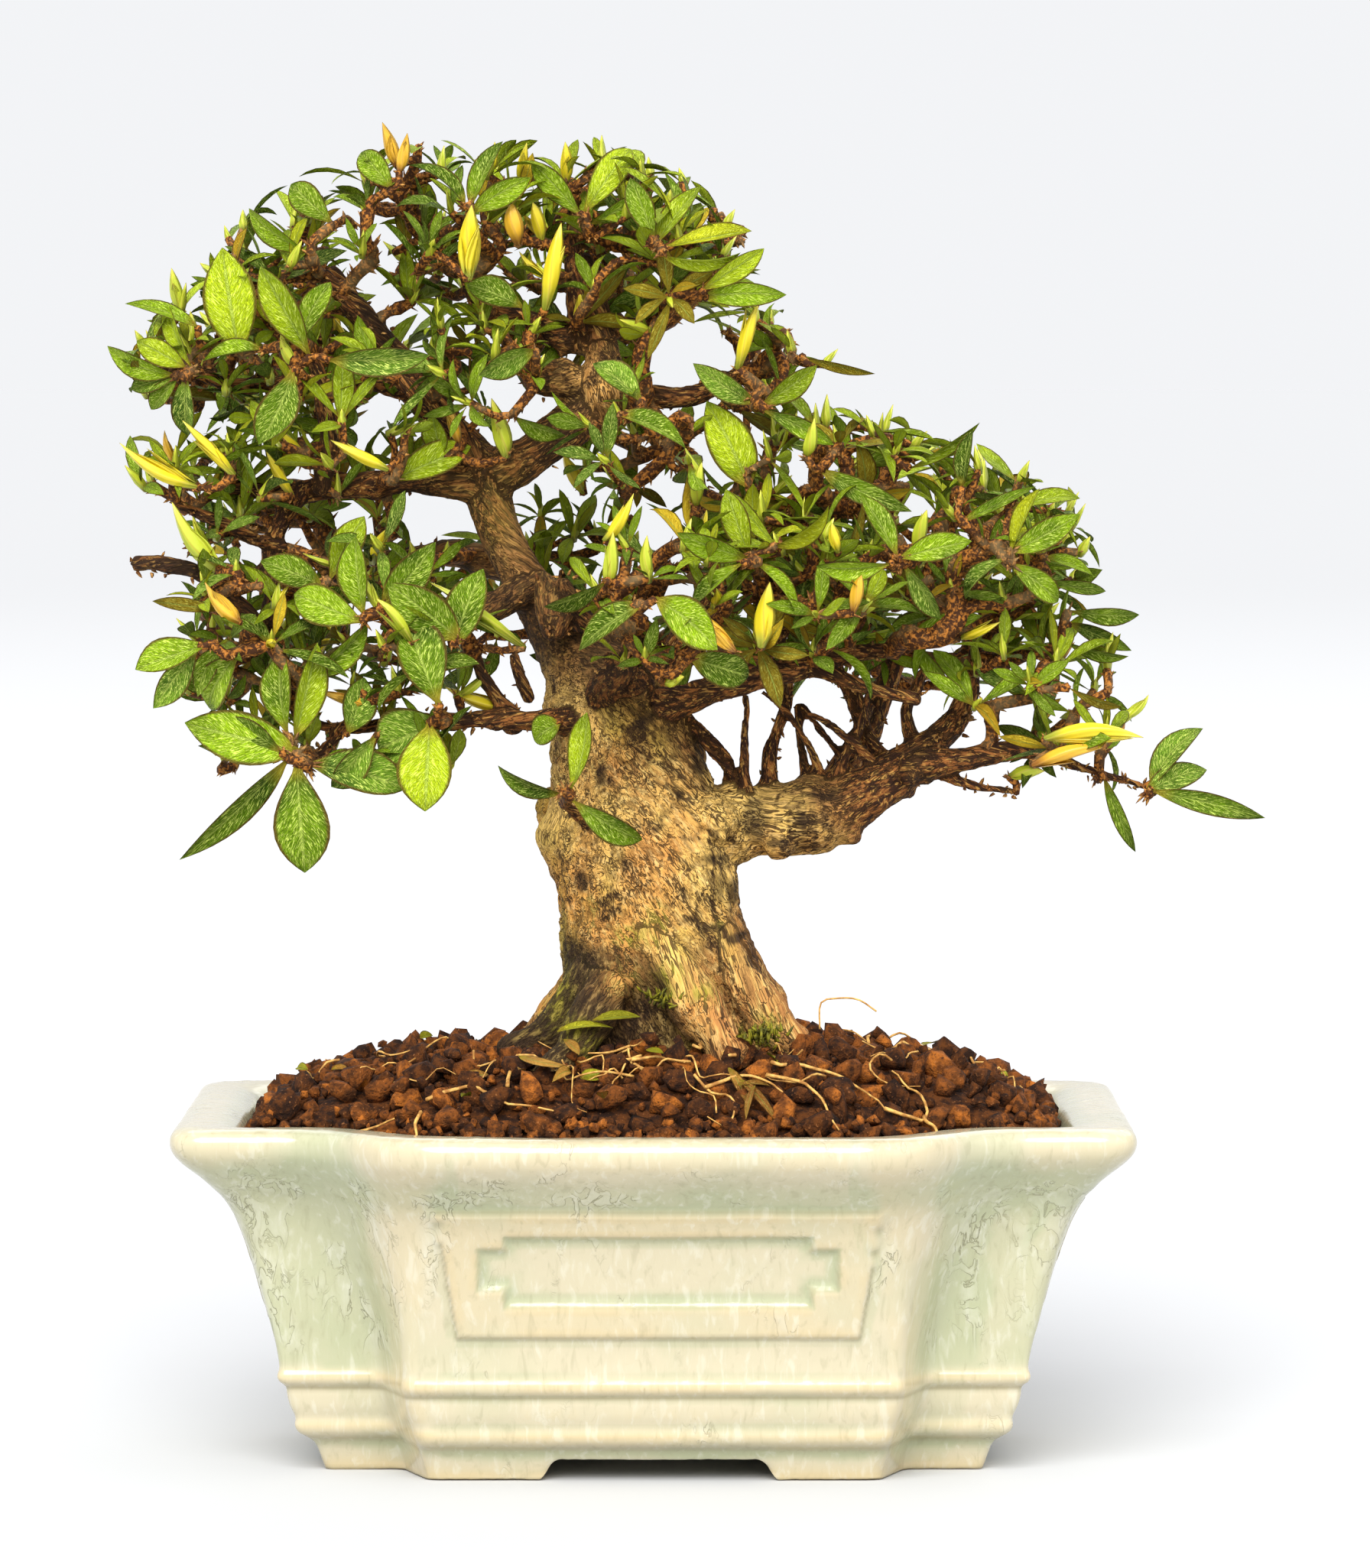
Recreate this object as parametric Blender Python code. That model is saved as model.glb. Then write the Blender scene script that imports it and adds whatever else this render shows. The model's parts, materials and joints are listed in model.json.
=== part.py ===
"""Azalea bonsai in a glazed pot with indented corners.

The plant is a trunk, its boughs and the masses of foliage that the boughs carry. The pot stands on
four bracket feet and holds a mound of granular soil. Everything is one rigid body that stands on the
flat undersides of the feet. Lengths are in metres and +Z is up. The work is laid out round the middle
of the pot, and at the end the whole is moved so that the origin lies under the middle of its box.
"""

import math

import bmesh
import bpy
import numpy as np
from mathutils import Matrix, Vector, noise

MM = 0.001

# Pot
POT_HALF_LENGTH = 80.0 * MM
POT_HALF_DEPTH = 58.0 * MM
POT_HEIGHT = 59.5 * MM
FOOT_HEIGHT = 4.7 * MM
FOOT_CLEARANCE = 0.3 * MM
FOOT_INSET_BOTTOM = 25.0 * MM
FOOT_INSET_TOP = 23.4 * MM
WALL = 6.0 * MM
FLOOR_TOP = 10.5 * MM
PANEL_HALF_FOOT = 37.5 * MM
PANEL_HALF = 41.0 * MM
UPPER_BEAD_Z = 17.0 * MM
NOTCH_AT_FOOT = 12.0 * MM
NOTCH_AT_RIM = 15.5 * MM
STEP_RUN_AT_FOOT = 4.5 * MM
STEP_RUN_AT_RIM = 14.0 * MM
SOFT_AT_FOOT = 3.0 * MM
SOFT_AT_RIM = 9.0 * MM
FOOT_GAP_BOTTOM = 18.7 * MM
FOOT_GAP_TOP = 15.4 * MM
END_GAP_BOTTOM = 12.0 * MM
END_GAP_TOP = 9.0 * MM
FOOT_WIDTH = 13.0 * MM
DRAIN_RADIUS = 5.0 * MM
DRAIN_X = 24.0 * MM

# Outside of the pot from the foot up, as height and distance inside the widest point of the rim.
POT_PROFILE = (
    (FOOT_HEIGHT / MM, 23.4),
    (6.0, 21.4),
    (7.6, 20.2),
    (9.6, 19.5),
    (14.2, 18.7),
    (15.8, 17.2),
    (18.2, 17.2),
    (24.0, 15.8),
    (31.0, 13.8),
    (38.0, 11.8),
    (43.5, 9.9),
    (47.5, 7.7),
    (51.0, 4.4),
    (53.6, 1.4),
    (56.2, 0.0),
    (58.4, 0.8),
    (59.5, 3.8),
)
# Lip and inside wall, from the rim's crest down to the floor.
LIP_PROFILE = (
    (59.3, 7.6),
    (57.6, 10.6),
    (53.0, 12.6),
    (42.0, 16.6),
    (26.0, 21.4),
    (FLOOR_TOP / MM, 26.0),
)

# Soil
SOIL_CLEARANCE = 0.6 * MM
SOIL_RIM_Z = 56.5 * MM
SOIL_RIM_INSET = 12.4 * MM
SOIL_TOP_Z = 70.6 * MM
SOIL_TOP_HALF_LENGTH = 27.0 * MM
SOIL_TOP_HALF_DEPTH = 20.0 * MM
MOUND_RINGS = 4
MOUND_SLOPE_SIDE = 1.2
MOUND_SLOPE_END = 0.75

# Plant
TRUNK_FOOT_Z = 67.5 * MM
TRUNK_SIDES = 16
TRUNK_RING_SPACING = 6.5 * MM
LIMB_SIDES = 6
LIMB_RING_SPACING = 8.0 * MM
CUT_CLEARANCE = 0.45 * MM
MASS_GAP = 1.0 * MM
# A mass swells towards a neighbour no farther off than this, until the two press together.
PRESS_RANGE = 9.0 * MM
PRESS = 0.6
PRESS_FROM = 0.55
# How the roots spread the trunk's foot: lobes around it, height of the lobes and their turn.
ROOT_LOBES = ((2, 0.10, 0.0), (3, 0.07, 0.5), (5, 0.05, 0.0))
ROOTS_END_Z = 94.0 * MM
MASS_POINTS = 50
BROAD_LUMPS = 1.4
BROAD_HEIGHT = 0.38
LUMP_SIZE = 6.0 * MM
LUMP_HEIGHT = 0.24
SEED = 7

# Trunk centre line: x, y, z and radius in millimetres, from the flat foot to the fork.
TRUNK_PATH = (
    (-1, 0, 67.5, 23.6),
    (-1, 0, 73, 21.6),
    (0, 0, 79, 19.4),
    (0, 0, 85, 17.2),
    (-1, 0, 92, 15.5),
    (-2, 0, 100, 16.2),
    (-3, 0, 109, 15.4),
    (-4.5, 0, 117, 13.4),
    (-6.5, 1, 125, 11.9),
    (-11, 2, 133, 10.6),
    (-17, 3, 141, 9.2),
    (-23, 3, 149, 7.4),
    (-27, 2, 157, 6.0),
    (-28, 1, 164, 5.6),
    (-27, 1, 169, 4.2),
)

# Boughs: name, the limbs that it springs from or passes into, then x, y, z and radius in millimetres.
BOUGHS = (
    ("bough_right", ("trunk",),
     ((3, 0, 105.5, 9.4), (12, 0, 106.5, 8.6), (20, 0, 107.5, 7.4), (26, -1, 108, 7.1),
      (31, -1, 109.5, 5.9), (36, -1, 112.5, 4.8), (42, -1, 116.5, 4.2), (47, -1, 120, 3.7))),
    ("bough_right_rise", ("bough_right",),
     ((46, -1, 119.4, 3.2), (50, -1, 123, 3.3), (52.6, -1, 128, 3.0), (54, -1, 133, 2.6),
      (55, -1, 139, 2.1))),
    ("bough_right_tail", ("bough_right", "bough_right_rise"),
     ((43, -3, 116.6, 2.6), (52, -6, 118.8, 2.4), (60, -7, 119.5, 2.0), (67, -8, 118.4, 1.5),
      (74, -8, 116, 1.0), (84, -8, 113, 0.8))),
    ("bough_right_inner", ("bough_right",),
     ((18, 1, 111, 2.4), (20, 1, 119, 2.1), (21.5, 1, 126, 1.9), (24, 0, 135, 1.6))),
    ("bough_right_cross", ("bough_right",),
     ((40, 1, 115.4, 1.9), (36.5, 3, 121, 1.6), (33, 4, 128, 1.4), (31, 5, 136, 1.2))),
    ("bough_right_back", ("bough_right",),
     ((27, 3, 109, 3.2), (33, 13, 116, 2.8), (38, 23, 124, 2.4), (42, 31, 134, 2.0))),
    ("bough_centre_right", ("trunk",),
     ((0, -4, 127, 3.0), (9, -7, 129.5, 2.4), (16, -10, 134, 2.0), (22, -13, 141, 1.7))),
    ("bough_front", ("trunk",),
     ((-9, -6, 129, 3.2), (-8, -14, 132, 2.8), (-4, -22, 136, 2.2), (-2, -28, 142, 1.7))),
    ("bough_left_low", ("trunk",),
     ((-11, -5, 124.5, 2.9), (-21, -10, 124.8, 2.2), (-31, -13, 125.2, 1.8), (-40, -14, 125.6, 1.6),
      (-50, -14, 124, 1.3), (-58, -13, 125, 1.1))),
    ("bough_left_middle", ("trunk",),
     ((-22, 0, 147, 3.0), (-30, -6, 142.5, 2.3), (-38, -10, 140, 2.0), (-44, -12, 140, 1.7))),
    ("bough_left_arm", ("trunk",),
     ((-28, 1, 163.5, 3.6), (-38, 0, 165.5, 2.9), (-47, -1, 164.3, 2.5), (-56, -2, 163.4, 2.2),
      (-64, -3, 163, 1.9), (-72, -4, 164, 1.6))),
    ("bough_left_drop", ("bough_left_arm",),
     ((-61, -3, 162.5, 2.0), (-64, -5, 156, 1.8), (-64.5, -6, 148, 1.6), (-65, -7, 140, 1.4))),
    ("bough_left_rise", ("trunk", "bough_left_arm"),
     ((-28, 2, 166, 4.2), (-34, 4, 172.5, 3.9), (-39.5, 5, 179, 3.6), (-44.5, 5, 186, 3.1),
      (-50, 5, 193, 2.6), (-56, 5, 200, 2.1))),
    ("bough_left_tip", ("bough_left_rise",),
     ((-41, 4, 181, 2.4), (-50, 0, 182, 2.0), (-60, -2, 181.5, 1.8), (-70, -3, 181.5, 1.5),
      (-78, -3, 184, 1.2))),
    ("bough_apex", ("trunk", "bough_left_rise"),
     ((-26, 1, 167.4, 4.0), (-19, 0, 170.4, 4.3), (-12.5, -1, 174.6, 4.6), (-8.6, -1, 181, 4.5),
      (-9, 0, 188, 3.9), (-11, 1, 195, 3.1), (-13, 1, 203, 2.4))),
    ("bough_apex_left", ("bough_apex",),
     ((-9.5, 0, 188.5, 3.0), (-19, 1, 190.4, 2.4), (-27, 2, 194, 2.1), (-33, 2, 201, 1.7))),
    ("bough_shoulder", ("bough_apex",),
     ((-9, -1, 179.5, 3.0), (-1, -2, 178.8, 2.4), (7, -2, 179.6, 2.0), (14, -1, 183, 1.7))),
    ("bough_crest", ("trunk",),
     ((-6, 3, 123, 3.4), (2, 6, 134, 2.9), (11, 8, 146, 2.5), (20, 6, 157, 2.0), (27, 3, 163, 1.7))),
    ("bough_back_low", ("trunk",),
     ((-5, 6, 120, 3.6), (-7, 18, 125, 3.1), (-9, 29, 131, 2.6), (-10, 38, 138, 2.0))),
    ("bough_back_left", ("trunk",),
     ((-23, 4, 150, 3.2), (-34, 15, 152, 2.7), (-45, 24, 151, 2.3), (-55, 30, 150, 1.8))),
    ("bough_back_rise", ("bough_left_rise",),
     ((-40, 6, 180, 2.6), (-46, 16, 184, 2.2), (-52, 25, 186, 1.8), (-57, 31, 189, 1.5))),
    ("bough_back_heart", ("bough_crest",),
     ((12, 9, 148, 2.2), (11, 16, 154, 2.0), (9, 23, 161, 1.8), (6, 30, 168, 1.5))),
    ("bough_back_top", ("bough_apex",),
     ((-11, 1, 175, 3.0), (-9, 11, 182, 2.6), (-8, 20, 189, 2.1), (-8, 29, 195, 1.7))),
)

# Foliage: name, centre and half sizes in millimetres.
MASSES = (
    ("mass_apex_left", (-38, 1, 208), (20, 21, 17.6)),
    ("mass_apex_right", (-2, 1, 204), (23, 23, 18.7)),
    ("mass_shoulder_left", (-64, 4, 199.5), (17, 21, 15)),
    ("mass_left_tip", (-79, -3, 183.5), (15, 18, 14)),
    ("mass_left_heart", (-54, -9, 179), (17, 18, 16)),
    ("mass_left_crotch", (-31, -6, 186), (14, 15, 12)),
    ("mass_left_middle", (-76, -6, 163), (17.5, 20, 14)),
    ("mass_left_inner", (-48, -4, 155), (18, 18, 14.5)),
    ("mass_left_low", (-70, -9, 139), (20, 22, 16)),
    ("mass_left_drop", (-63, -14, 112), (18, 14, 14.5)),
    ("mass_left_front", (-42, -15, 136), (16, 18, 15)),
    ("mass_left_hem", (-42, -16, 117), (13, 12, 10.5)),
    ("mass_front", (2, -28, 147), (16, 15, 18)),
    ("mass_heart", (-3, -17, 173), (14, 16, 14.5)),
    ("mass_shoulder_right", (20.5, -1, 187), (15.5, 19, 12.5)),
    ("mass_right_crest", (31, -2, 168), (26, 22, 13)),
    ("mass_right_front", (24, -18, 146), (19, 18, 16)),
    ("mass_right_inner", (30, 13, 143), (19, 16, 16)),
    ("mass_right_outer", (58.5, -4, 153), (20.5, 24, 20)),
    ("mass_right_low", (65, -7, 129.5), (18, 20, 14)),
    ("mass_right_tail", (90.5, -8, 113.5), (13, 10, 12)),
    ("mass_sprout", (-15, -20, 112.5), (12, 8, 11)),
    ("mass_back_top", (-9, 35, 197), (27, 20, 18)),
    ("mass_back_left", (-60, 34, 187), (22, 21, 18)),
    ("mass_back_flank", (-57, 38, 150), (24, 21, 21)),
    ("mass_back_low", (-10, 45, 143), (28, 19, 20)),
    ("mass_back_heart", (4, 36, 171), (28, 20, 15)),
    ("mass_back_right", (46, 37, 148), (28, 23, 23)),
)


def clear_scene():
    """Removes whatever the scene holds."""
    for obj in list(bpy.data.objects):
        bpy.data.objects.remove(obj)


def material(name, colour, roughness, metallic=0.0):
    """A Principled material of one colour."""
    made = bpy.data.materials.new(name)
    made.use_nodes = True
    shader = made.node_tree.nodes["Principled BSDF"]
    shader.inputs["Base Color"].default_value = (*colour, 1.0)
    shader.inputs["Roughness"].default_value = roughness
    shader.inputs["Metallic"].default_value = metallic
    return made


def add_object(name, mesh, finish, smooth=True):
    """Links a mesh as a named object with its material."""
    obj = bpy.data.objects.new(name, mesh)
    bpy.context.scene.collection.objects.link(obj)
    mesh.materials.append(finish)
    if smooth:
        mesh.shade_smooth()
        mesh.set_sharp_from_angle(angle=math.radians(50))
    return obj


def loft(name, rings):
    """A closed mesh through rings of equal length, with a fan of faces at both ends."""
    shape = bmesh.new()
    loops = [[shape.verts.new(p) for p in ring] for ring in rings]
    count = len(rings[0])
    for low, high in zip(loops, loops[1:]):
        for i in range(count):
            j = (i + 1) % count
            shape.faces.new((low[i], low[j], high[j], high[i]))
    shape.faces.new(loops[0][::-1])
    shape.faces.new(loops[-1])
    bmesh.ops.triangulate(shape, faces=[f for f in shape.faces if len(f.verts) > 4])
    bmesh.ops.recalc_face_normals(shape, faces=shape.faces)
    mesh = bpy.data.meshes.new(name)
    shape.to_mesh(mesh)
    shape.free()
    return mesh


def smooth_step(value, low, high):
    """0 below low, 1 above high, and an S curve between them."""
    t = min(1.0, max(0.0, (value - low) / (high - low)))
    return t * t * (3.0 - 2.0 * t)


def mix(a, b, share):
    """The value that lies share of the way from a to b."""
    return a + (b - a) * share


def soft_corner(before, corner, after, reach, steps):
    """Points of a curve that rounds one corner of an outline, reach along each side of it."""
    back = before - corner
    on = after - corner
    start = corner + back.normalized() * min(reach, 0.45 * back.length)
    end = corner + on.normalized() * min(reach, 0.45 * on.length)
    points = []
    for i in range(steps):
        t = i / (steps - 1)
        points.append(start * (1 - t) ** 2 + corner * 2 * t * (1 - t) + end * t * t)
    return points


def pot_plan(z, inset, wall=0.0):
    """One level outline of the pot: a rectangle with a rounded notch cut from each corner.

    inset is how far the sides lie inside the rim's widest point, and wall how far the notch's
    inner faces have moved with them on the inside of the pot.
    """
    flare = smooth_step(z, UPPER_BEAD_Z, 56 * MM)
    length = POT_HALF_LENGTH - inset
    depth = POT_HALF_DEPTH - inset
    notch = mix(NOTCH_AT_FOOT, NOTCH_AT_RIM, flare)
    run = mix(STEP_RUN_AT_FOOT, STEP_RUN_AT_RIM, flare)
    panel = mix(PANEL_HALF_FOOT, PANEL_HALF, smooth_step(z, 0, UPPER_BEAD_Z)) - wall
    soft = mix(SOFT_AT_FOOT, SOFT_AT_RIM, flare)
    quarter = [
        Vector((0, depth)),
        Vector((panel, depth)),
        Vector((panel + run, depth - notch)),
        Vector((length, depth - notch)),
        Vector((length, 0)),
    ]
    outline = []
    for i, steps in ((1, 2), (2, 3), (3, 3)):
        reach = soft if i < 3 else 0.8 * soft
        outline += soft_corner(quarter[i - 1], quarter[i], quarter[i + 1], reach, steps)
    half = outline + [Vector((p.x, -p.y)) for p in reversed(outline)]
    whole = half + [Vector((-p.x, p.y)) for p in reversed(half)]
    return [Vector((p.x, p.y, z)) for p in reversed(whole)]


def pot_mesh():
    """The pot's body: up the outside, over the lip, and down the inside to the floor."""
    rings = [pot_plan(z * MM, inset * MM) for z, inset in POT_PROFILE]
    for z, inset in LIP_PROFILE:
        deep = smooth_step(POT_HEIGHT - z * MM, 0, 6 * MM)
        rings.append(pot_plan(z * MM, inset * MM, mix(3 * MM, WALL, deep)))
    return loft("pot", rings)


def add_pot(finish):
    """The pot, with two drain holes through its floor."""
    pot = add_object("pot", pot_mesh(), finish)
    for side in (-1, 1):
        drain = add_cylinder(f"drain_cutter_{side}", DRAIN_RADIUS, 2 * FLOOR_TOP)
        drain.location = (side * DRAIN_X, 0, FOOT_HEIGHT)
        cut(pot, drain)
    return pot


def add_cylinder(name, radius, height):
    """A hidden upright cylinder, centred on its origin, that cuts a hole."""
    shape = bmesh.new()
    bmesh.ops.create_cone(
        shape, cap_ends=True, segments=14, radius1=radius, radius2=radius, depth=height
    )
    mesh = bpy.data.meshes.new(name)
    shape.to_mesh(mesh)
    shape.free()
    return hide(add_object(name, mesh, material(name, (0.5, 0.5, 0.5), 0.5), smooth=False))


def hide(obj):
    """Marks an object as a cutter, which is no part of the model."""
    obj.hide_render = True
    obj.display_type = "WIRE"
    return obj


def cut(obj, cutter):
    """Takes the cutter's shape out of an object."""
    modifier = obj.modifiers.new(f"cut_{cutter.name}", "BOOLEAN")
    modifier.operation = "DIFFERENCE"
    modifier.object = cutter


def add_foot(name, side_x, side_y, finish):
    """One bracket foot: an angle that follows the pot's notched corner, with sloping ends."""
    rings = []
    for z, inset, gap, end_gap in (
        (0.0, FOOT_INSET_BOTTOM, FOOT_GAP_BOTTOM, END_GAP_BOTTOM),
        (FOOT_HEIGHT - FOOT_CLEARANCE, FOOT_INSET_TOP, FOOT_GAP_TOP, END_GAP_TOP),
    ):
        outer = [p for p in pot_plan(z, inset) if p.x > 0 and p.y > 0]
        outer.sort(key=lambda p: math.atan2(p.y, p.x))
        depth = POT_HALF_DEPTH - inset
        length = POT_HALF_LENGTH - inset
        outer = [Vector((length, end_gap, z)), *outer, Vector((gap, depth, z))]
        inner = [
            Vector((gap, depth - FOOT_WIDTH, z)),
            Vector((PANEL_HALF_FOOT - 0.7 * FOOT_WIDTH, depth - FOOT_WIDTH, z)),
            Vector((length - FOOT_WIDTH, end_gap + 2 * MM, z)),
            Vector((length - FOOT_WIDTH, end_gap, z)),
        ]
        ring = [Vector((p.x * side_x, p.y * side_y, p.z)) for p in outer + inner]
        rings.append(ring if side_x * side_y > 0 else ring[::-1])
    return add_object(name, loft(name, rings), finish)


def add_soil(finish):
    """The soil: it fills the pot and rises to a flat-topped mound under the trunk."""
    rings = []
    for z, inset in reversed(LIP_PROFILE[2:]):
        low = max(z * MM, FLOOR_TOP + SOIL_CLEARANCE)
        rings.append(pot_plan(low, inset * MM + SOIL_CLEARANCE, WALL + SOIL_CLEARANCE))
    edge = pot_plan(SOIL_RIM_Z, SOIL_RIM_INSET, WALL + SOIL_CLEARANCE)
    for i in range(MOUND_RINGS + 1):
        share = i / MOUND_RINGS
        ring = []
        for p in edge:
            turn = math.atan2(p.y / POT_HALF_DEPTH, p.x / POT_HALF_LENGTH)
            slope = mix(MOUND_SLOPE_SIDE, MOUND_SLOPE_END, abs(math.cos(turn)))
            z = mix(SOIL_RIM_Z, SOIL_TOP_Z, math.sin(share * math.pi / 2) ** slope)
            top = Vector(
                (SOIL_TOP_HALF_LENGTH * math.cos(turn), SOIL_TOP_HALF_DEPTH * math.sin(turn), 0)
            )
            flat = Vector((p.x, p.y, 0)).lerp(top, share)
            ring.append(Vector((flat.x, flat.y, z)))
        rings.append(ring)
    return add_object("soil", loft("soil", rings), finish)


def spline(points, spacing):
    """Points of a Catmull-Rom curve through rows of x, y, z and radius, about spacing apart."""
    rows = np.array(points, float)
    rows = np.vstack([2 * rows[0] - rows[1], rows, 2 * rows[-1] - rows[-2]])
    made = []
    for a, b, c, d in zip(rows, rows[1:], rows[2:], rows[3:]):
        count = max(1, round(np.linalg.norm(c[:3] - b[:3]) * MM / spacing))
        for t in np.arange(count) / count:
            made.append(
                0.5
                * (
                    2 * b
                    + (c - a) * t
                    + (2 * a - 5 * b + 4 * c - d) * t**2
                    + (3 * b - a - 3 * c + d) * t**3
                )
            )
    made.append(rows[-2])
    return np.array(made) * MM


def ring_frames(centres):
    """Two unit vectors across the path at each of its points, turning as little as they can."""
    tangents = np.gradient(centres, axis=0)
    tangents /= np.linalg.norm(tangents, axis=1)[:, None]
    side = Vector((0, 1, 0))
    frames = []
    for tangent in tangents:
        along = Vector(tangent)
        side = (side - along * side.dot(along)).normalized()
        frames.append((side.cross(along), side))
    return frames


def trunk_swell(z, turn):
    """How much wider than its mean the trunk is at a height and a direction, from its roots."""
    low = 1.0 - smooth_step(z, TRUNK_FOOT_Z, ROOTS_END_Z)
    return 1.0 + low * sum(high * math.cos(lobes * turn + on) for lobes, high, on in ROOT_LOBES)


def limb_rings(path, sides, spacing, extra=0.0, swell=None, level_foot=False):
    """Round cross-sections along a limb, each extra wider than the limb itself."""
    rows = spline(path, spacing)
    frames = ring_frames(rows[:, :3])
    rings = []
    for row, (across, side) in zip(rows, frames):
        centre, radius = Vector(row[:3]), row[3]
        if level_foot:
            level = 1.0 - smooth_step(centre.z, 84 * MM, 118 * MM)
            across = across.lerp(Vector((1, 0, 0)), level).normalized()
            side = side.lerp(Vector((0, 1, 0)), level).normalized()
        ring = []
        for i in range(sides):
            turn = 2 * math.pi * i / sides
            wide = radius * (swell(centre.z, turn) if swell else 1.0) + extra
            ring.append(centre + (across * math.cos(turn) + side * math.sin(turn)) * wide)
        rings.append(ring)
    return rings


def rounded_ends(rings, foot, tip):
    """Adds a small narrowed ring past an end, so that the limb doesn't end in a sharp disc."""
    for end, wanted in ((0, foot), (-1, tip)):
        if not wanted:
            continue
        ring = rings[end]
        centre = sum(ring, Vector()) / len(ring)
        beside = rings[1] if end == 0 else rings[-2]
        out = (centre - sum(beside, Vector()) / len(beside)).normalized()
        radius = (ring[0] - centre).length
        cap = [centre + (p - centre) * 0.55 + out * radius * 0.5 for p in ring]
        rings.insert(0, cap) if end == 0 else rings.append(cap)
    return rings


def trunk_mesh(name, extra=0.0):
    """The trunk from its flat foot to its fork. With extra it is the cutter that clears it."""
    rings = limb_rings(
        TRUNK_PATH, TRUNK_SIDES, TRUNK_RING_SPACING, extra, trunk_swell, level_foot=True
    )
    if extra:
        rings.insert(0, [p - Vector((0, 0, extra)) for p in rings[0]])
    return loft(name, rounded_ends(rings, foot=False, tip=True))


def limb_mesh(name, path, extra=0.0):
    """One bough. With extra it is the cutter that clears it."""
    rings = limb_rings(path, LIMB_SIDES, LIMB_RING_SPACING, extra)
    return loft(name, rounded_ends(rings, foot=True, tip=True))


def add_wood(bark):
    """The trunk and boughs, each cut clear of what it springs from. Returns them and their cutters."""
    plain = material("cutter", (0.5, 0.5, 0.5), 0.5)
    limbs = {"trunk": add_object("trunk", trunk_mesh("trunk"), bark)}
    cutters = {
        "trunk": hide(
            add_object("trunk_cutter", trunk_mesh("trunk_cutter", CUT_CLEARANCE), plain, False)
        )
    }
    for name, parents, path in BOUGHS:
        limbs[name] = add_object(name, limb_mesh(name, path), bark)
        cutter = add_object(f"{name}_cutter", limb_mesh(f"{name}_cutter", path, CUT_CLEARANCE), plain)
        cutters[name] = hide(cutter)
        for parent in parents:
            cut(limbs[name], cutters[parent])
    return limbs, cutters


def reach_of(half, direction):
    """Distance from an ellipsoid's centre to its surface in a direction."""
    scaled = [direction[i] / half[i] for i in range(3)]
    return 1.0 / math.sqrt(sum(s * s for s in scaled))


def sphere_mesh(count):
    """A round closed mesh of unit radius whose points lie evenly along a spiral from pole to pole."""
    shape = bmesh.new()
    golden = math.pi * (3.0 - math.sqrt(5.0))
    for i in range(count):
        z = 1.0 - (2 * i + 1) / count
        wide = math.sqrt(1.0 - z * z)
        shape.verts.new((wide * math.cos(golden * i), wide * math.sin(golden * i), z))
    bmesh.ops.convex_hull(shape, input=shape.verts)
    bmesh.ops.recalc_face_normals(shape, faces=shape.faces)
    return shape


def lumpy_points(directions, half, shift):
    """Points of an uneven round shape whose box is exactly the half sizes given."""
    points = []
    for direction in directions:
        broad = noise.noise(direction * BROAD_LUMPS + shift)
        small = noise.noise(direction * (max(half) / LUMP_SIZE) - shift)
        reach = 1.0 + BROAD_HEIGHT * broad + LUMP_HEIGHT * small
        points.append(Vector(direction[i] * half[i] * reach for i in range(3)))
    for i in range(3):
        low = min(p[i] for p in points)
        high = max(p[i] for p in points)
        for point in points:
            point[i] = mix(-half[i], half[i], (point[i] - low) / (high - low))
    return points


def mass_mesh(name, centre, half, others, seed):
    """One mass of foliage: an uneven round shape, pressed flat where a near neighbour begins."""
    shape = sphere_mesh(MASS_POINTS)
    shift = Vector((seed * 13.1, seed * 7.7, seed * 3.3))
    points = lumpy_points([v.co.copy() for v in shape.verts], half, shift)
    for vertex, point in zip(shape.verts, points):
        direction = point.normalized()
        press, limit = 0.0, math.inf
        for other, other_half in others:
            gap = other - centre
            unit = gap.normalized()
            facing = direction.dot(unit)
            if facing <= 0.05:
                continue
            mine, theirs = reach_of(half, unit), reach_of(other_half, unit)
            near = 1.0 - smooth_step(gap.length - mine - theirs, 0.0, PRESS_RANGE)
            press = max(press, near * smooth_step(facing, PRESS_FROM, 1.0))
            share = mine / (mine + theirs)
            limit = min(limit, (gap.length * share - MASS_GAP / 2) / facing)
        vertex.co = centre + direction * min(point.length * (1.0 + PRESS * press), limit)
    mesh = bpy.data.meshes.new(name)
    shape.to_mesh(mesh)
    shape.free()
    return mesh


def limb_meets(rows, centre, half):
    """Whether any part of a limb comes near a mass."""
    for row in rows:
        away = Vector(row[:3]) - centre
        if away.length < 1e-6 or away.length - row[3] < reach_of(half, away.normalized()) * (1.1 + PRESS):
            return True
    return False


def add_foliage(leaf, cutters):
    """The masses, each with sockets for the boughs that end in it or pass it."""
    paths = {"trunk": TRUNK_PATH, **{name: path for name, _, path in BOUGHS}}
    rows = {name: spline(path, 2 * MM) for name, path in paths.items()}
    sized = [(Vector(centre) * MM, Vector(half) * MM) for _, centre, half in MASSES]
    for i, (name, _, _) in enumerate(MASSES):
        centre, half = sized[i]
        others = sized[:i] + sized[i + 1 :]
        mass = add_object(name, mass_mesh(name, centre, half, others, SEED + i), leaf)
        for limb, cutter in cutters.items():
            if limb_meets(rows[limb], centre, half):
                cut(mass, cutter)


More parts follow.
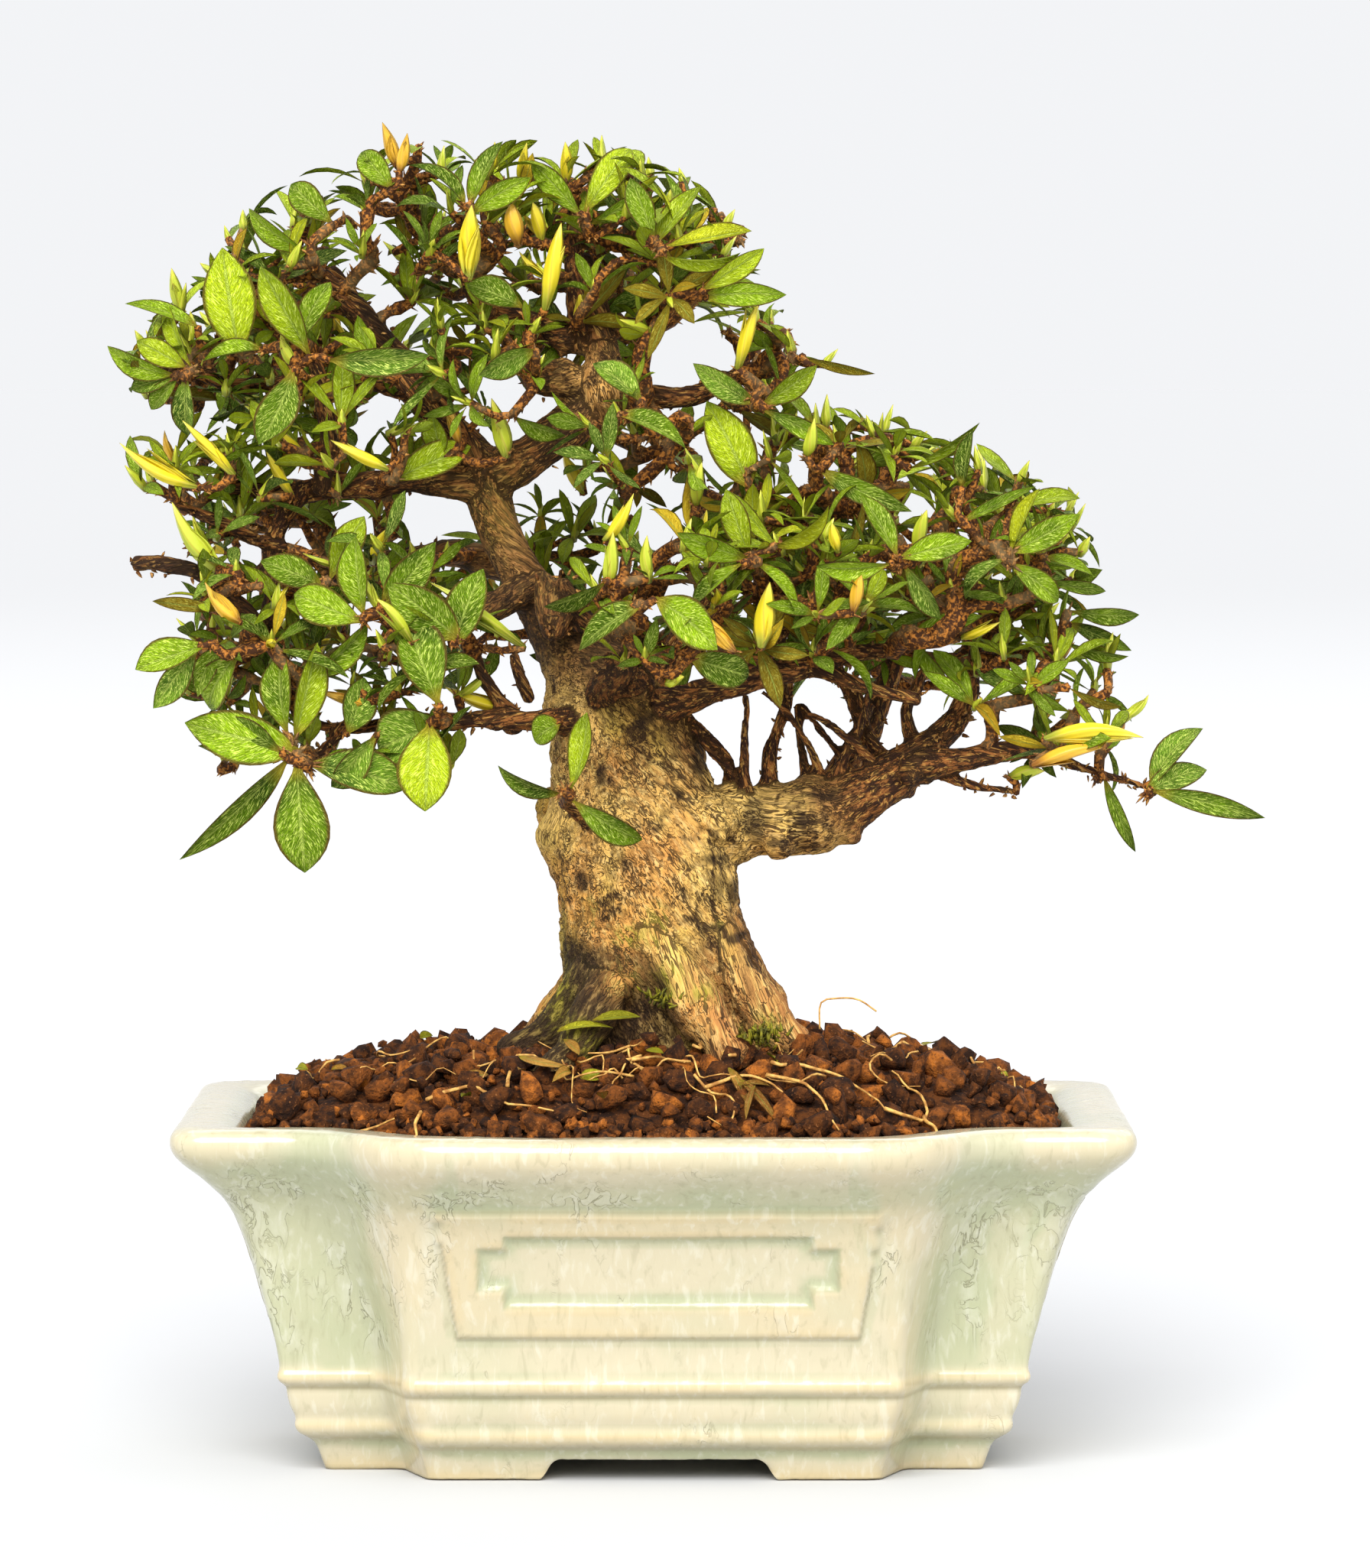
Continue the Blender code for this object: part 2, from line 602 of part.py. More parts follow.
def centre_on_origin():
    """Moves everything so that the origin lies under the middle of the model's box."""
    graph = bpy.context.evaluated_depsgraph_get()
    low, high = Vector((1.0,) * 3), Vector((-1.0,) * 3)
    for obj in bpy.context.scene.objects:
        if obj.type != "MESH" or obj.hide_render:
            continue
        for vertex in obj.evaluated_get(graph).data.vertices:
            place = obj.matrix_world @ vertex.co
            low = Vector(map(min, low, place))
            high = Vector(map(max, high, place))
    middle = (low + high) / 2
    root = bpy.data.objects.new("root", None)
    bpy.context.scene.collection.objects.link(root)
    for obj in list(bpy.context.scene.objects):
        if obj is not root:
            obj.parent = root
            obj.matrix_parent_inverse = Matrix.Identity(4)
    root.location = (-middle.x, -middle.y, -low.z)


def main():
    """Builds the pot, the soil, the wood and the foliage."""
    clear_scene()
    glaze = material("glaze", (0.80, 0.78, 0.62), 0.15)
    grit = material("soil", (0.20, 0.075, 0.035), 0.95)
    bark = material("bark", (0.40, 0.27, 0.15), 0.85)
    leaf = material("leaf", (0.16, 0.30, 0.05), 0.5)
    add_pot(glaze)
    for side_x, across in ((-1, "left"), (1, "right")):
        for side_y, along in ((-1, "front"), (1, "back")):
            add_foot(f"foot_{along}_{across}", side_x, side_y, glaze)
    soil = add_soil(grit)
    limbs, cutters = add_wood(bark)
    cut(soil, cutters["trunk"])
    add_foliage(leaf, cutters)
    bpy.context.view_layer.update()
    centre_on_origin()


main()
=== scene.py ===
"""The looks of an azalea bonsai in a glazed pot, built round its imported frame.

Every shape is worked out in millimetres round the middle of the pot, with +Z up and the camera on the
-Y side. Bench.put moves a finished shape into the frame.
"""

import json
import logging
import math
from collections.abc import Iterator
from dataclasses import dataclass, field
from enum import Enum

import bmesh
import bpy
import numpy as np
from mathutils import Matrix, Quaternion, Vector
from mathutils.bvhtree import BVHTree

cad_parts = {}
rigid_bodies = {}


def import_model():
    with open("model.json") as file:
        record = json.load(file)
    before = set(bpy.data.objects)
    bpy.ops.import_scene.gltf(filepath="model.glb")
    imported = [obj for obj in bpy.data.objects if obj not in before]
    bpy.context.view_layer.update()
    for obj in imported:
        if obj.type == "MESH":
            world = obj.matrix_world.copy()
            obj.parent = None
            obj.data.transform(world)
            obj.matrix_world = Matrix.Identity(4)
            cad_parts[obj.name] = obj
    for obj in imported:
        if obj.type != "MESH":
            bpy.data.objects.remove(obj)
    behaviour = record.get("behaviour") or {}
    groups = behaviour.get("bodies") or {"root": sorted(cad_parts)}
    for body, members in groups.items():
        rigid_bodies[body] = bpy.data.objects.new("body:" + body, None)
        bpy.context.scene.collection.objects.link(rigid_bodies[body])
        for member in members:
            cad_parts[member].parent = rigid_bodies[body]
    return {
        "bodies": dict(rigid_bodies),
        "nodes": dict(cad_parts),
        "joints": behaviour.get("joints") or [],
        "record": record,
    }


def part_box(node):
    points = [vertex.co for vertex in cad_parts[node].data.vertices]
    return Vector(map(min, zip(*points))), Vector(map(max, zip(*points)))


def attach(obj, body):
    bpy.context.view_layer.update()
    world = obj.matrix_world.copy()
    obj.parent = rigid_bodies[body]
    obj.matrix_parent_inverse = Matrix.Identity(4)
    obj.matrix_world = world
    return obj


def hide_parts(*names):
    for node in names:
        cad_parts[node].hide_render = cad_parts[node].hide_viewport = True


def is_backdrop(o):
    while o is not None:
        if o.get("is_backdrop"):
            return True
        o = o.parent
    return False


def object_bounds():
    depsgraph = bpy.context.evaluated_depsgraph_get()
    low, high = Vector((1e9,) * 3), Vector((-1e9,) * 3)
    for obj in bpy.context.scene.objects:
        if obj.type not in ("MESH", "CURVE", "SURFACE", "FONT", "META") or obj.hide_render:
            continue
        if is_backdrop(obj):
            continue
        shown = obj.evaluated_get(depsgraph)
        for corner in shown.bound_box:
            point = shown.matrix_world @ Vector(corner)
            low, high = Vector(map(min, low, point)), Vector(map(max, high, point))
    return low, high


Array = np.ndarray
Colour = tuple[float, float, float]
Rows = tuple[tuple[float, ...], ...]
Socket = bpy.types.NodeSocket
Material = bpy.types.Material
LOG = logging.getLogger("azalea_bonsai")
MM = 0.001
TURN = 2 * math.pi
GOLDEN = math.pi * (3.0 - math.sqrt(5.0))


def smooth(value: Array, low: float, high: float) -> Array:
    """An S curve: 0 below low, 1 above high and 3t^2 - 2t^3 between them.

    Args:
        value: What is compared, of any shape.
        low: Where the curve leaves 0.
        high: Where it reaches 1.

    Returns:
        The curve's values, in the shape of value.
    """
    t = np.clip((value - low) / (high - low), 0.0, 1.0)
    return t * t * (3.0 - 2.0 * t)


def fall(value: Array, low: float, high: float) -> Array:
    """The S curve turned over: 1 below low and 0 above high."""
    return 1.0 - smooth(value, low, high)


def bell(*axes: tuple[Array, float, float]) -> Array:
    """e to the minus sum of ((value - middle) / width)^2 over axes of value, middle and width."""
    return np.exp(-sum(((value - middle) / width) ** 2 for value, middle, width in axes))


def circle(count: int) -> Array:
    """Angles at equal steps once round."""
    return np.linspace(0, TURN, count, endpoint=False)


def around(turn: Array, reach: Array) -> Array:
    """Rows of x and y at angles turn and distances reach."""
    return np.column_stack([reach * np.cos(turn), reach * np.sin(turn)])


def size_of(rows: Array) -> Array:
    """Each row's length."""
    return np.linalg.norm(rows, axis=-1)


def unit(rows: Array) -> Array:
    """Each row divided by its length."""
    return rows / np.maximum(np.linalg.norm(rows, axis=-1, keepdims=True), 1e-9)


def hashed(cell: Array, seed: int) -> Array:
    """A repeatable value from -1 to 1 for each whole-number cell.

    Args:
        cell: Whole numbers, the last axis holding x, y and z.
        seed: Which of many fields of values is read.

    Returns:
        One value for each cell, from mixing the bits of a weighted sum of its numbers.
    """
    c = cell.astype(np.int64)
    h = (c[..., 0] * 73856093) ^ (c[..., 1] * 19349663) ^ (c[..., 2] * 83492791) ^ (seed * 2654435761)
    h = (((h ^ (h >> 13)) & 0xFFFFFFFF) * 1274126177) & 0xFFFFFFFF
    h = ((h ^ (h >> 16)) * 1103515245) & 0xFFFFFFFF
    return (h ^ (h >> 15)) / 2147483648.0 - 1.0


def waves(points: Array, size: float, seed: int, octaves: int = 1) -> Array:
    """Smooth noise: values at the corners of a lattice, blended by S curves, in halving sizes.

    Args:
        points: Places, the last axis holding x, y and z.
        size: Width of the largest waves.
        seed: Which field of values is read.
        octaves: How many sizes are added, each half as wide and half as high as the one before.

    Returns:
        A value of about -1 to 1 for each point.
    """
    total, weight = np.zeros(points.shape[:-1]), 1.0
    for octave in range(octaves):
        scaled = points / size * 2.0**octave
        cell = np.floor(scaled)
        part = scaled - cell
        ease = part * part * (3.0 - 2.0 * part)
        for corner in np.ndindex(2, 2, 2):
            share = np.prod(np.where(np.array(corner) == 1, ease, 1.0 - ease), axis=-1)
            total += weight * share * hashed(cell + corner, seed + octave)
        weight *= 0.5
    return total


def cells(points: Array, size: float, seed: int) -> tuple[Array, Array]:
    """Distances from each point to the nearest and the next of one random spot in each cell.

    Args:
        points: Places, the last axis holding x, y and z.
        size: Width of a cell.
        seed: Which field of spots is read.

    Returns:
        The two distances, in cell widths. Their difference is 0 on the line between two cells.
    """
    scaled = points / size
    base = np.floor(scaled)
    near = np.full(points.shape[:-1], np.inf)
    later = near.copy()
    for step in np.ndindex(3, 3, 3):
        cell = base + step - 1
        spot = cell + 0.5 + 0.45 * np.stack([hashed(cell, seed + k) for k in range(3)], axis=-1)
        away = size_of(scaled - spot)
        later = np.minimum(later, np.maximum(near, away))
        near = np.minimum(near, away)
    return near, later


def curve(points: Array, count: int) -> Array:
    """Evenly spread points of a Catmull-Rom curve, the cubic that passes through all its rows.

    Args:
        points: Rows that start with x, y and z and may carry more numbers, such as a radius.
        count: How many points are wanted.

    Returns:
        count rows of the same numbers, at equal distances along the curve.
    """
    rows = np.asarray(points, float)
    ends = np.vstack([2 * rows[0] - rows[1], rows, 2 * rows[-1] - rows[-2]])
    at = np.linspace(0, len(rows) - 1, 16 * len(rows))
    i = np.minimum(at.astype(int), len(rows) - 2)
    t = (at - i)[:, None]
    a, b, c, d = ends[i], ends[i + 1], ends[i + 2], ends[i + 3]
    fine = 0.5 * (2 * b + (c - a) * t + (2 * a - 5 * b + 4 * c - d) * t**2 + (3 * b - a - 3 * c + d) * t**3)
    run = np.r_[0, np.cumsum(size_of(np.diff(fine[:, :3], axis=0)))]
    wanted = np.linspace(0, run[-1], count)
    return np.stack([np.interp(wanted, run, fine[:, k]) for k in range(rows.shape[1])], axis=1)


def grid_faces(rows: int, columns: int, ring: bool = False, closed: bool = False) -> Array:
    """Four-sided faces between the points of a grid that is stored row by row.

    Args:
        rows: Number of rows.
        columns: Number of columns.
        ring: The last column meets the first.
        closed: The last row meets the first.

    Returns:
        Rows of four point numbers.
    """
    r = np.arange(rows if closed else rows - 1)[:, None]
    c = np.arange(columns if ring else columns - 1)[None, :]
    above, beside = (r + 1) % rows, (c + 1) % columns
    corners = (r * columns + c, r * columns + beside, above * columns + beside, above * columns + c)
    return np.stack(corners, axis=-1).reshape(-1, 4)


@dataclass
class Shape:
    """Points in millimetres, the faces between them and what the points carry.

    A face is a row of four point numbers, and the fourth is -1 where it has three sides.
    """

    points: Array
    faces: Array
    uv: Array | None = None
    marks: dict[str, Array] = field(default_factory=dict)

    def outward(self) -> "Shape":
        """The same closed shape with its faces turned outwards, by the sign of its volume.

        Returns:
            The shape itself.
        """
        a, b, c = (self.points[self.faces[:, k]] for k in range(3))
        d = np.where(self.faces[:, 3:] >= 0, self.points[self.faces[:, 3]], a)
        volume = np.einsum("ij,ij->", a, np.cross(b, c)) + np.einsum("ij,ij->", a, np.cross(c, d))
        if volume < 0:
            turned = self.faces[:, [2, 1, 0, 3]].copy()
            four = self.faces[:, 3] >= 0
            turned[four] = self.faces[four][:, ::-1]
            self.faces = turned
        return self

    @staticmethod
    def joined(shapes: list["Shape"]) -> "Shape":
        """One shape of several that carry the same marks.

        Args:
            shapes: Those shapes, in order.

        Returns:
            A new shape that holds all their points and faces.
        """
        starts = np.cumsum([0] + [len(s.points) for s in shapes[:-1]])
        faces = [np.where(s.faces >= 0, s.faces + start, -1) for s, start in zip(shapes, starts)]
        uv = None if shapes[0].uv is None else np.concatenate([s.uv for s in shapes])
        marks = {k: np.concatenate([s.marks[k] for s in shapes]) for k in shapes[0].marks}
        return Shape(np.concatenate([s.points for s in shapes]), np.concatenate(faces), uv, marks)


def tubes(paths: Array, radii: Array, sides: int, flat: float = 1.0) -> Shape:
    """Round limbs: at each point of a path a ring r(cos a, sin a) across it, closed by a tip at both ends.

    Args:
        paths: Centre lines, as limbs by points by x, y and z.
        radii: The limbs' radii at those points.
        sides: Points in a ring.
        flat: The ring's second radius over its first.

    Returns:
        All the limbs as one shape of closed tubes, with uv running round and along them.
    """
    many, count = radii.shape
    along = unit(np.gradient(paths, axis=1))
    mean = unit(along.mean(axis=1))
    guide = np.eye(3)[np.abs(mean).argmin(axis=1)][:, None, :]
    first = unit(guide - along * (guide * along).sum(-1, keepdims=True))
    second = np.cross(along, first)
    turn = circle(sides)
    ring = first[:, :, None] * np.cos(turn)[:, None] + flat * second[:, :, None] * np.sin(turn)[:, None]
    skin = paths[:, :, None] + ring * radii[:, :, None, None]
    foot = paths[:, 0] - along[:, 0] * radii[:, :1] * 0.5
    tips = np.stack([foot, paths[:, -1] + along[:, -1] * radii[:, -1:] * 0.5], axis=1)
    points = np.concatenate([skin.reshape(many, -1, 3), tips], axis=1)
    body = grid_faces(count, sides, ring=True)
    j = np.arange(sides)
    k = (j + 1) % sides
    none = np.full(sides, -1)
    last = (count - 1) * sides
    low = np.stack([np.full(sides, count * sides), k, j, none], axis=1)
    high = np.stack([np.full(sides, count * sides + 1), last + j, last + k, none], axis=1)
    one = np.vstack([body, low, high])
    size = count * sides + 2
    faces = np.where(one >= 0, one + (np.arange(many) * size)[:, None, None], -1).reshape(-1, 4)
    v = np.concatenate([np.repeat(np.linspace(0, 1, count), sides), [0.0, 1.0]])
    u = np.concatenate([np.tile(turn / TURN, count), [0.5, 0.5]])
    uv = np.tile(np.stack([u, v], axis=1), (many, 1))
    return Shape(points.reshape(-1, 3), faces, uv)


@dataclass
class Bench:
    """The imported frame, where the pot's middle lies in it, and the making of pieces."""

    nodes: dict[str, bpy.types.Object]
    middle: Array

    def local(self, node: str) -> Array:
        """A CAD node's points, in millimetres round the pot's middle.

        Args:
            node: The node's name.

        Returns:
            Rows of x, y and z.
        """
        mesh = self.nodes[node].data
        flat = np.empty(len(mesh.vertices) * 3, np.float32)
        mesh.vertices.foreach_get("co", flat)
        return (flat.reshape(-1, 3) - self.middle) / MM

    def put(
        self,
        name: str,
        shape: Shape,
        finish: Material,
        replaces: tuple[str, ...] = (),
    ) -> bpy.types.Object:
        """Makes a shape a piece of the object, shaded smooth.

        Args:
            name: The piece's name.
            shape: Its points, faces, uv and marks.
            finish: Its material.
            replaces: The CAD nodes that it stands for.

        Returns:
            The new object, at the origin, with its place in its mesh.
        """
        corners = shape.faces.ravel()
        loops = corners[corners >= 0].astype(np.int32)
        sides = (shape.faces >= 0).sum(axis=1)
        mesh = bpy.data.meshes.new(name)
        mesh.vertices.add(len(shape.points))
        mesh.vertices.foreach_set("co", (shape.points * MM + self.middle).astype(np.float32).ravel())
        mesh.loops.add(len(loops))
        mesh.loops.foreach_set("vertex_index", loops)
        mesh.polygons.add(len(sides))
        mesh.polygons.foreach_set("loop_start", np.r_[0, np.cumsum(sides)[:-1]].astype(np.int32))
        mesh.polygons.foreach_set("use_smooth", np.full(len(sides), True))
        if shape.uv is not None:
            layer = mesh.uv_layers.new(name="UVMap")
            layer.uv.foreach_set("vector", shape.uv[loops].astype(np.float32).ravel())
        for key, values in shape.marks.items():
            mark = mesh.attributes.new(key, "FLOAT", "POINT")
            mark.data.foreach_set("value", values.astype(np.float32))
        mesh.update(calc_edges=True)
        mesh.materials.append(finish)
        piece = bpy.data.objects.new(name, mesh)
        bpy.context.scene.collection.objects.link(piece)
        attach(piece, "root")
        if replaces:
            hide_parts(*replaces)
        LOG.info("%s: %d points, %d faces", name, len(shape.points), len(sides))
        return piece


@dataclass
class Sight:
    """The photograph's camera: where it stands and how a point in front of it is seen."""

    x: float = 5.15
    y: float = -1200.0
    z: float = 184.7
    tilt: float = 3.39
    focal: float = 163.03

    def through(self, x: Array, z: Array, y: Array) -> Array:
        """The point at depth y on the sight line that passes x, z in the plane y = 0.

        Args:
            x: Across, in that plane.
            z: Height, in that plane.
            y: The depth of the wanted point.

        Returns:
            The points, the last axis holding x, y and z.
        """
        share = 1.0 - np.asarray(y, float) / self.y
        across, up = self.x + (x - self.x) * share, self.z + (z - self.z) * share
        return np.stack([across, y + 0 * share, up], axis=-1)

    def seen(self, points: Array) -> Array:
        """Where the sight line of each point meets the plane y = 0, as x and z.

        Args:
            points: Places, the last axis holding x, y and z.

        Returns:
            The two numbers for each, on the last axis.
        """
        share = 1.0 - points[..., 1] / self.y
        flat = [eye + (points[..., k] - eye) / share for k, eye in ((0, self.x), (2, self.z))]
        return np.stack(flat, axis=-1)

    def place(self, bench: Bench) -> None:
        """Makes the camera.

        Args:
            bench: Where the pot's middle lies.
        """
        data = bpy.data.cameras.new("camera")
        data.lens, data.sensor_width, data.clip_end = self.focal, 36.0, 50.0
        camera = bpy.data.objects.new("camera", data)
        bpy.context.scene.collection.objects.link(camera)
        camera.location = np.array([self.x, self.y, self.z]) * MM + bench.middle
        camera.rotation_euler = (math.radians(90.0 - self.tilt), 0.0, 0.0)
        bpy.context.scene.camera = camera


class Recipe:
    """A material's nodes, added one by one. Sockets are given and returned by the methods."""

    def __init__(self, name: str, roughness: float, coat: float = 0.0, specular: float = 0.5) -> None:
        """Starts a Principled material.

        Args:
            name: The material's name.
            roughness: Its roughness.
            coat: Weight of its clear coat.
            specular: Its specular level.
        """
        self.material = bpy.data.materials.new(name)
        self.material.use_nodes = True
        self.tree = self.material.node_tree
        self.shader = self.tree.nodes["Principled BSDF"]
        given = {
            "Roughness": roughness, "Coat Weight": coat, "Coat Roughness": 0.06,
            "Specular IOR Level": specular,
        }
        for key, value in given.items():
            self.shader.inputs[key].default_value = value
        self.place = self.node("TexCoord", {}).outputs["Object"]

    def node(self, kind: str, fed: dict[object, object], **settings: object) -> bpy.types.Node:
        """Adds a node.

        Args:
            kind: The end of its type's name.
            fed: Its inputs by name or number, each a number, a colour or a socket to link.
            settings: Its properties.

        Returns:
            The node.
        """
        node = self.tree.nodes.new(f"ShaderNode{kind}")
        for key, value in settings.items():
            setattr(node, key, value)
        for key, value in fed.items():
            self.feed(node.inputs[key], value)
        return node

    def feed(self, socket: Socket, value: object) -> None:
        """Sets a socket to a number or colour, or links another socket to it.

        Args:
            socket: The input.
            value: What it gets.
        """
        if isinstance(value, Socket):
            self.tree.links.new(value, socket)
        elif isinstance(value, tuple) and socket.type == "RGBA":
            socket.default_value = (*value, 1.0)
        else:
            socket.default_value = value

    def math(self, operation: str, *values: object) -> Socket:
        """One Math node."""
        return self.node("Math", dict(enumerate(values)), operation=operation).outputs[0]

    def times(self, a: object, b: object) -> Socket:
        """The product of two numbers."""
        return self.math("MULTIPLY", a, b)

    def plus(self, a: object, b: object) -> Socket:
        """The sum of two numbers."""
        return self.math("ADD", a, b)

    def less(self, a: object, b: object) -> Socket:
        """The difference of two numbers."""
        return self.math("SUBTRACT", a, b)

    def noise(
        self, scale: Colour | float, detail: float = 2.0, distortion: float = 0.0, place: Socket | None = None
    ) -> Socket:
        """Adds smooth noise.

        Args:
            scale: How many waves there are to a metre, along each axis or along all.
            detail: How many finer sizes are added.
            distortion: How far the waves are bent.
            place: Where it is read, if not at the object's own places.

        Returns:
            The noise, from 0 to 1.
        """
        wide = scale if isinstance(scale, tuple) else (scale,) * 3
        spread = self.node("Mapping", {"Vector": place or self.place, "Scale": wide}).outputs[0]
        fed = {"Vector": spread, "Scale": 1.0, "Detail": detail, "Distortion": distortion}
        return self.node("TexNoise", fed).outputs[0]

    def remap(self, value: object, low: float, high: float, start: float = 0.0, end: float = 1.0) -> Socket:
        """A smooth step from start, at low, to end, at high."""
        fed = {"Value": value, "From Min": low, "From Max": high, "To Min": start, "To Max": end}
        return self.node("MapRange", fed, interpolation_type="SMOOTHSTEP").outputs[0]

    def mix(self, share: object, a: object, b: object) -> Socket:
        """A colour between a and b."""
        return self.node("Mix", {0: share, 6: a, 7: b}, data_type="RGBA").outputs[2]

    def over(
        self, under: Socket, tint: object, value: Socket, low: float, high: float, share: float = 1.0
    ) -> Socket:
        """A colour under a tint that grows from nothing, where a value is low, to its share, at high."""
        return self.mix(self.remap(value, low, high, 0.0, share), under, tint)

    def distance(self) -> Socket:
        """Distance from the object's origin."""
        return self.node("VectorMath", {0: self.place}, operation="LENGTH").outputs["Value"]

    def mark(self, name: str) -> Socket:
        """A number that the mesh's points carry."""
        return self.node("Attribute", {}, attribute_name=name).outputs["Fac"]

    def triple(self, *values: object) -> Socket:
        """Three numbers as one place."""
        return self.node("CombineXYZ", dict(enumerate(values))).outputs[0]

    def across_and_along(self) -> tuple[Socket, Socket]:
        """The two numbers of the piece's UV map."""
        parted = self.node("SeparateXYZ", {0: self.node("UVMap", {}).outputs[0]})
        return parted.outputs[0], parted.outputs[1]

    def dressed(self, colour: object, height: object = None, depth: float = 0.0) -> Material:
        """Ends the material.

        Args:
            colour: Its base colour.
            height: The height of its fine relief, 0 to 1.
            depth: How deep that relief is, in millimetres.

        Returns:
            The material.
        """
        self.feed(self.shader.inputs["Base Color"], colour)
        if height is not None:
            bump = self.node("Bump", {"Height": height, "Strength": 1.0, "Distance": depth * MM})
            self.feed(self.shader.inputs["Normal"], bump.outputs[0])
        return self.material


@dataclass(frozen=True)
class Glaze:
    """A pale crackled glaze: green where it pools and where painted shade falls under the rim, under the
    lower bead and on the left side, tan where it runs thin over an edge.
    """

    cream: Colour = (0.550, 0.490, 0.335)
    green: Colour = (0.395, 0.410, 0.250)
    tan: Colour = (0.56, 0.445, 0.245)
    white: Colour = (0.70, 0.69, 0.585)
    line: Colour = (0.20, 0.185, 0.085)

    def material(self) -> Material:
        """Mixes the colours by the marks pool_and_shade, thin, scaly and seam, with craze lines and streaks.

        Returns:
            The material.
        """
        made = Recipe("glaze", 0.2, coat=0.35)
        pool_and_shade, thin, scaly = made.mark("pool_and_shade"), made.mark("thin"), made.mark("scaly")
        streak = made.noise((700.0, 700.0, 130.0), 4.0, 0.6)
        cloud = made.noise((45.0, 45.0, 60.0), 3.0)
        # pool_and_shade holds the glaze's own pooling and painted shade under the rim, under the lower bead
        # and on the left side.
        green_share = made.plus(pool_and_shade, made.remap(cloud, 0.35, 0.75, -0.18, 0.30))
        colour = made.mix(green_share, self.cream, self.green)
        colour = made.mix(made.times(made.remap(cloud, 0.66, 0.46, 0.35, 0.80), thin), colour, self.tan)
        colour = made.over(colour, self.white, streak, 0.52, 0.72, 0.30)
        colour = made.over(colour, self.line, streak, 0.45, 0.28, 0.20)
        rough = made.plus(made.noise((95.0, 95.0, 55.0), 3.0, 0.8), made.times(scaly, 0.16))
        crust = made.remap(rough, 0.56, 0.76)
        crazed = made.noise((380.0, 380.0, 170.0), 4.0, 1.1)
        lines = made.times(made.remap(made.math("ABSOLUTE", made.less(crazed, 0.5)), 0.020, 0.0), crust)
        colour = made.mix(made.times(crust, made.remap(crazed, 0.44, 0.62, 0.0, 0.24)), colour, self.white)
        colour = made.mix(made.times(lines, 0.60), colour, self.line)
        # Painted shade: dark lines under the beads, round the panels' frames and fields and along the bottom
        # edge.
        colour = made.mix(made.times(made.mark("seam"), 0.50), colour, (0.21, 0.17, 0.06))
        height = made.plus(made.times(streak, 0.45), made.times(lines, -0.9))
        height = made.plus(height, made.times(crust, made.times(crazed, 1.6)))
        return made.dressed(colour, height, 0.11)


@dataclass(frozen=True)
class Clay:
    """Baked clay granules: a matt, pitted brown."""

    name: str
    light: Colour
    dark: Colour

    def material(self) -> Material:
        """Blotches of two browns, with small pits.

        Returns:
            The material.
        """
        made = Recipe(self.name, 0.95, specular=0.25)
        blotch = made.noise(560.0, 6.0)
        pits = made.noise(1900.0, 3.0)
        colour = made.mix(made.remap(blotch, 0.35, 0.66), self.dark, self.light)
        colour = made.over(colour, (0.02, 0.007, 0.004), pits, 0.42, 0.30, 0.75)
        colour = made.over(colour, (0.46, 0.18, 0.06), pits, 0.60, 0.76, 0.45)
        return made.dressed(colour, made.plus(blotch, pits), 0.55)


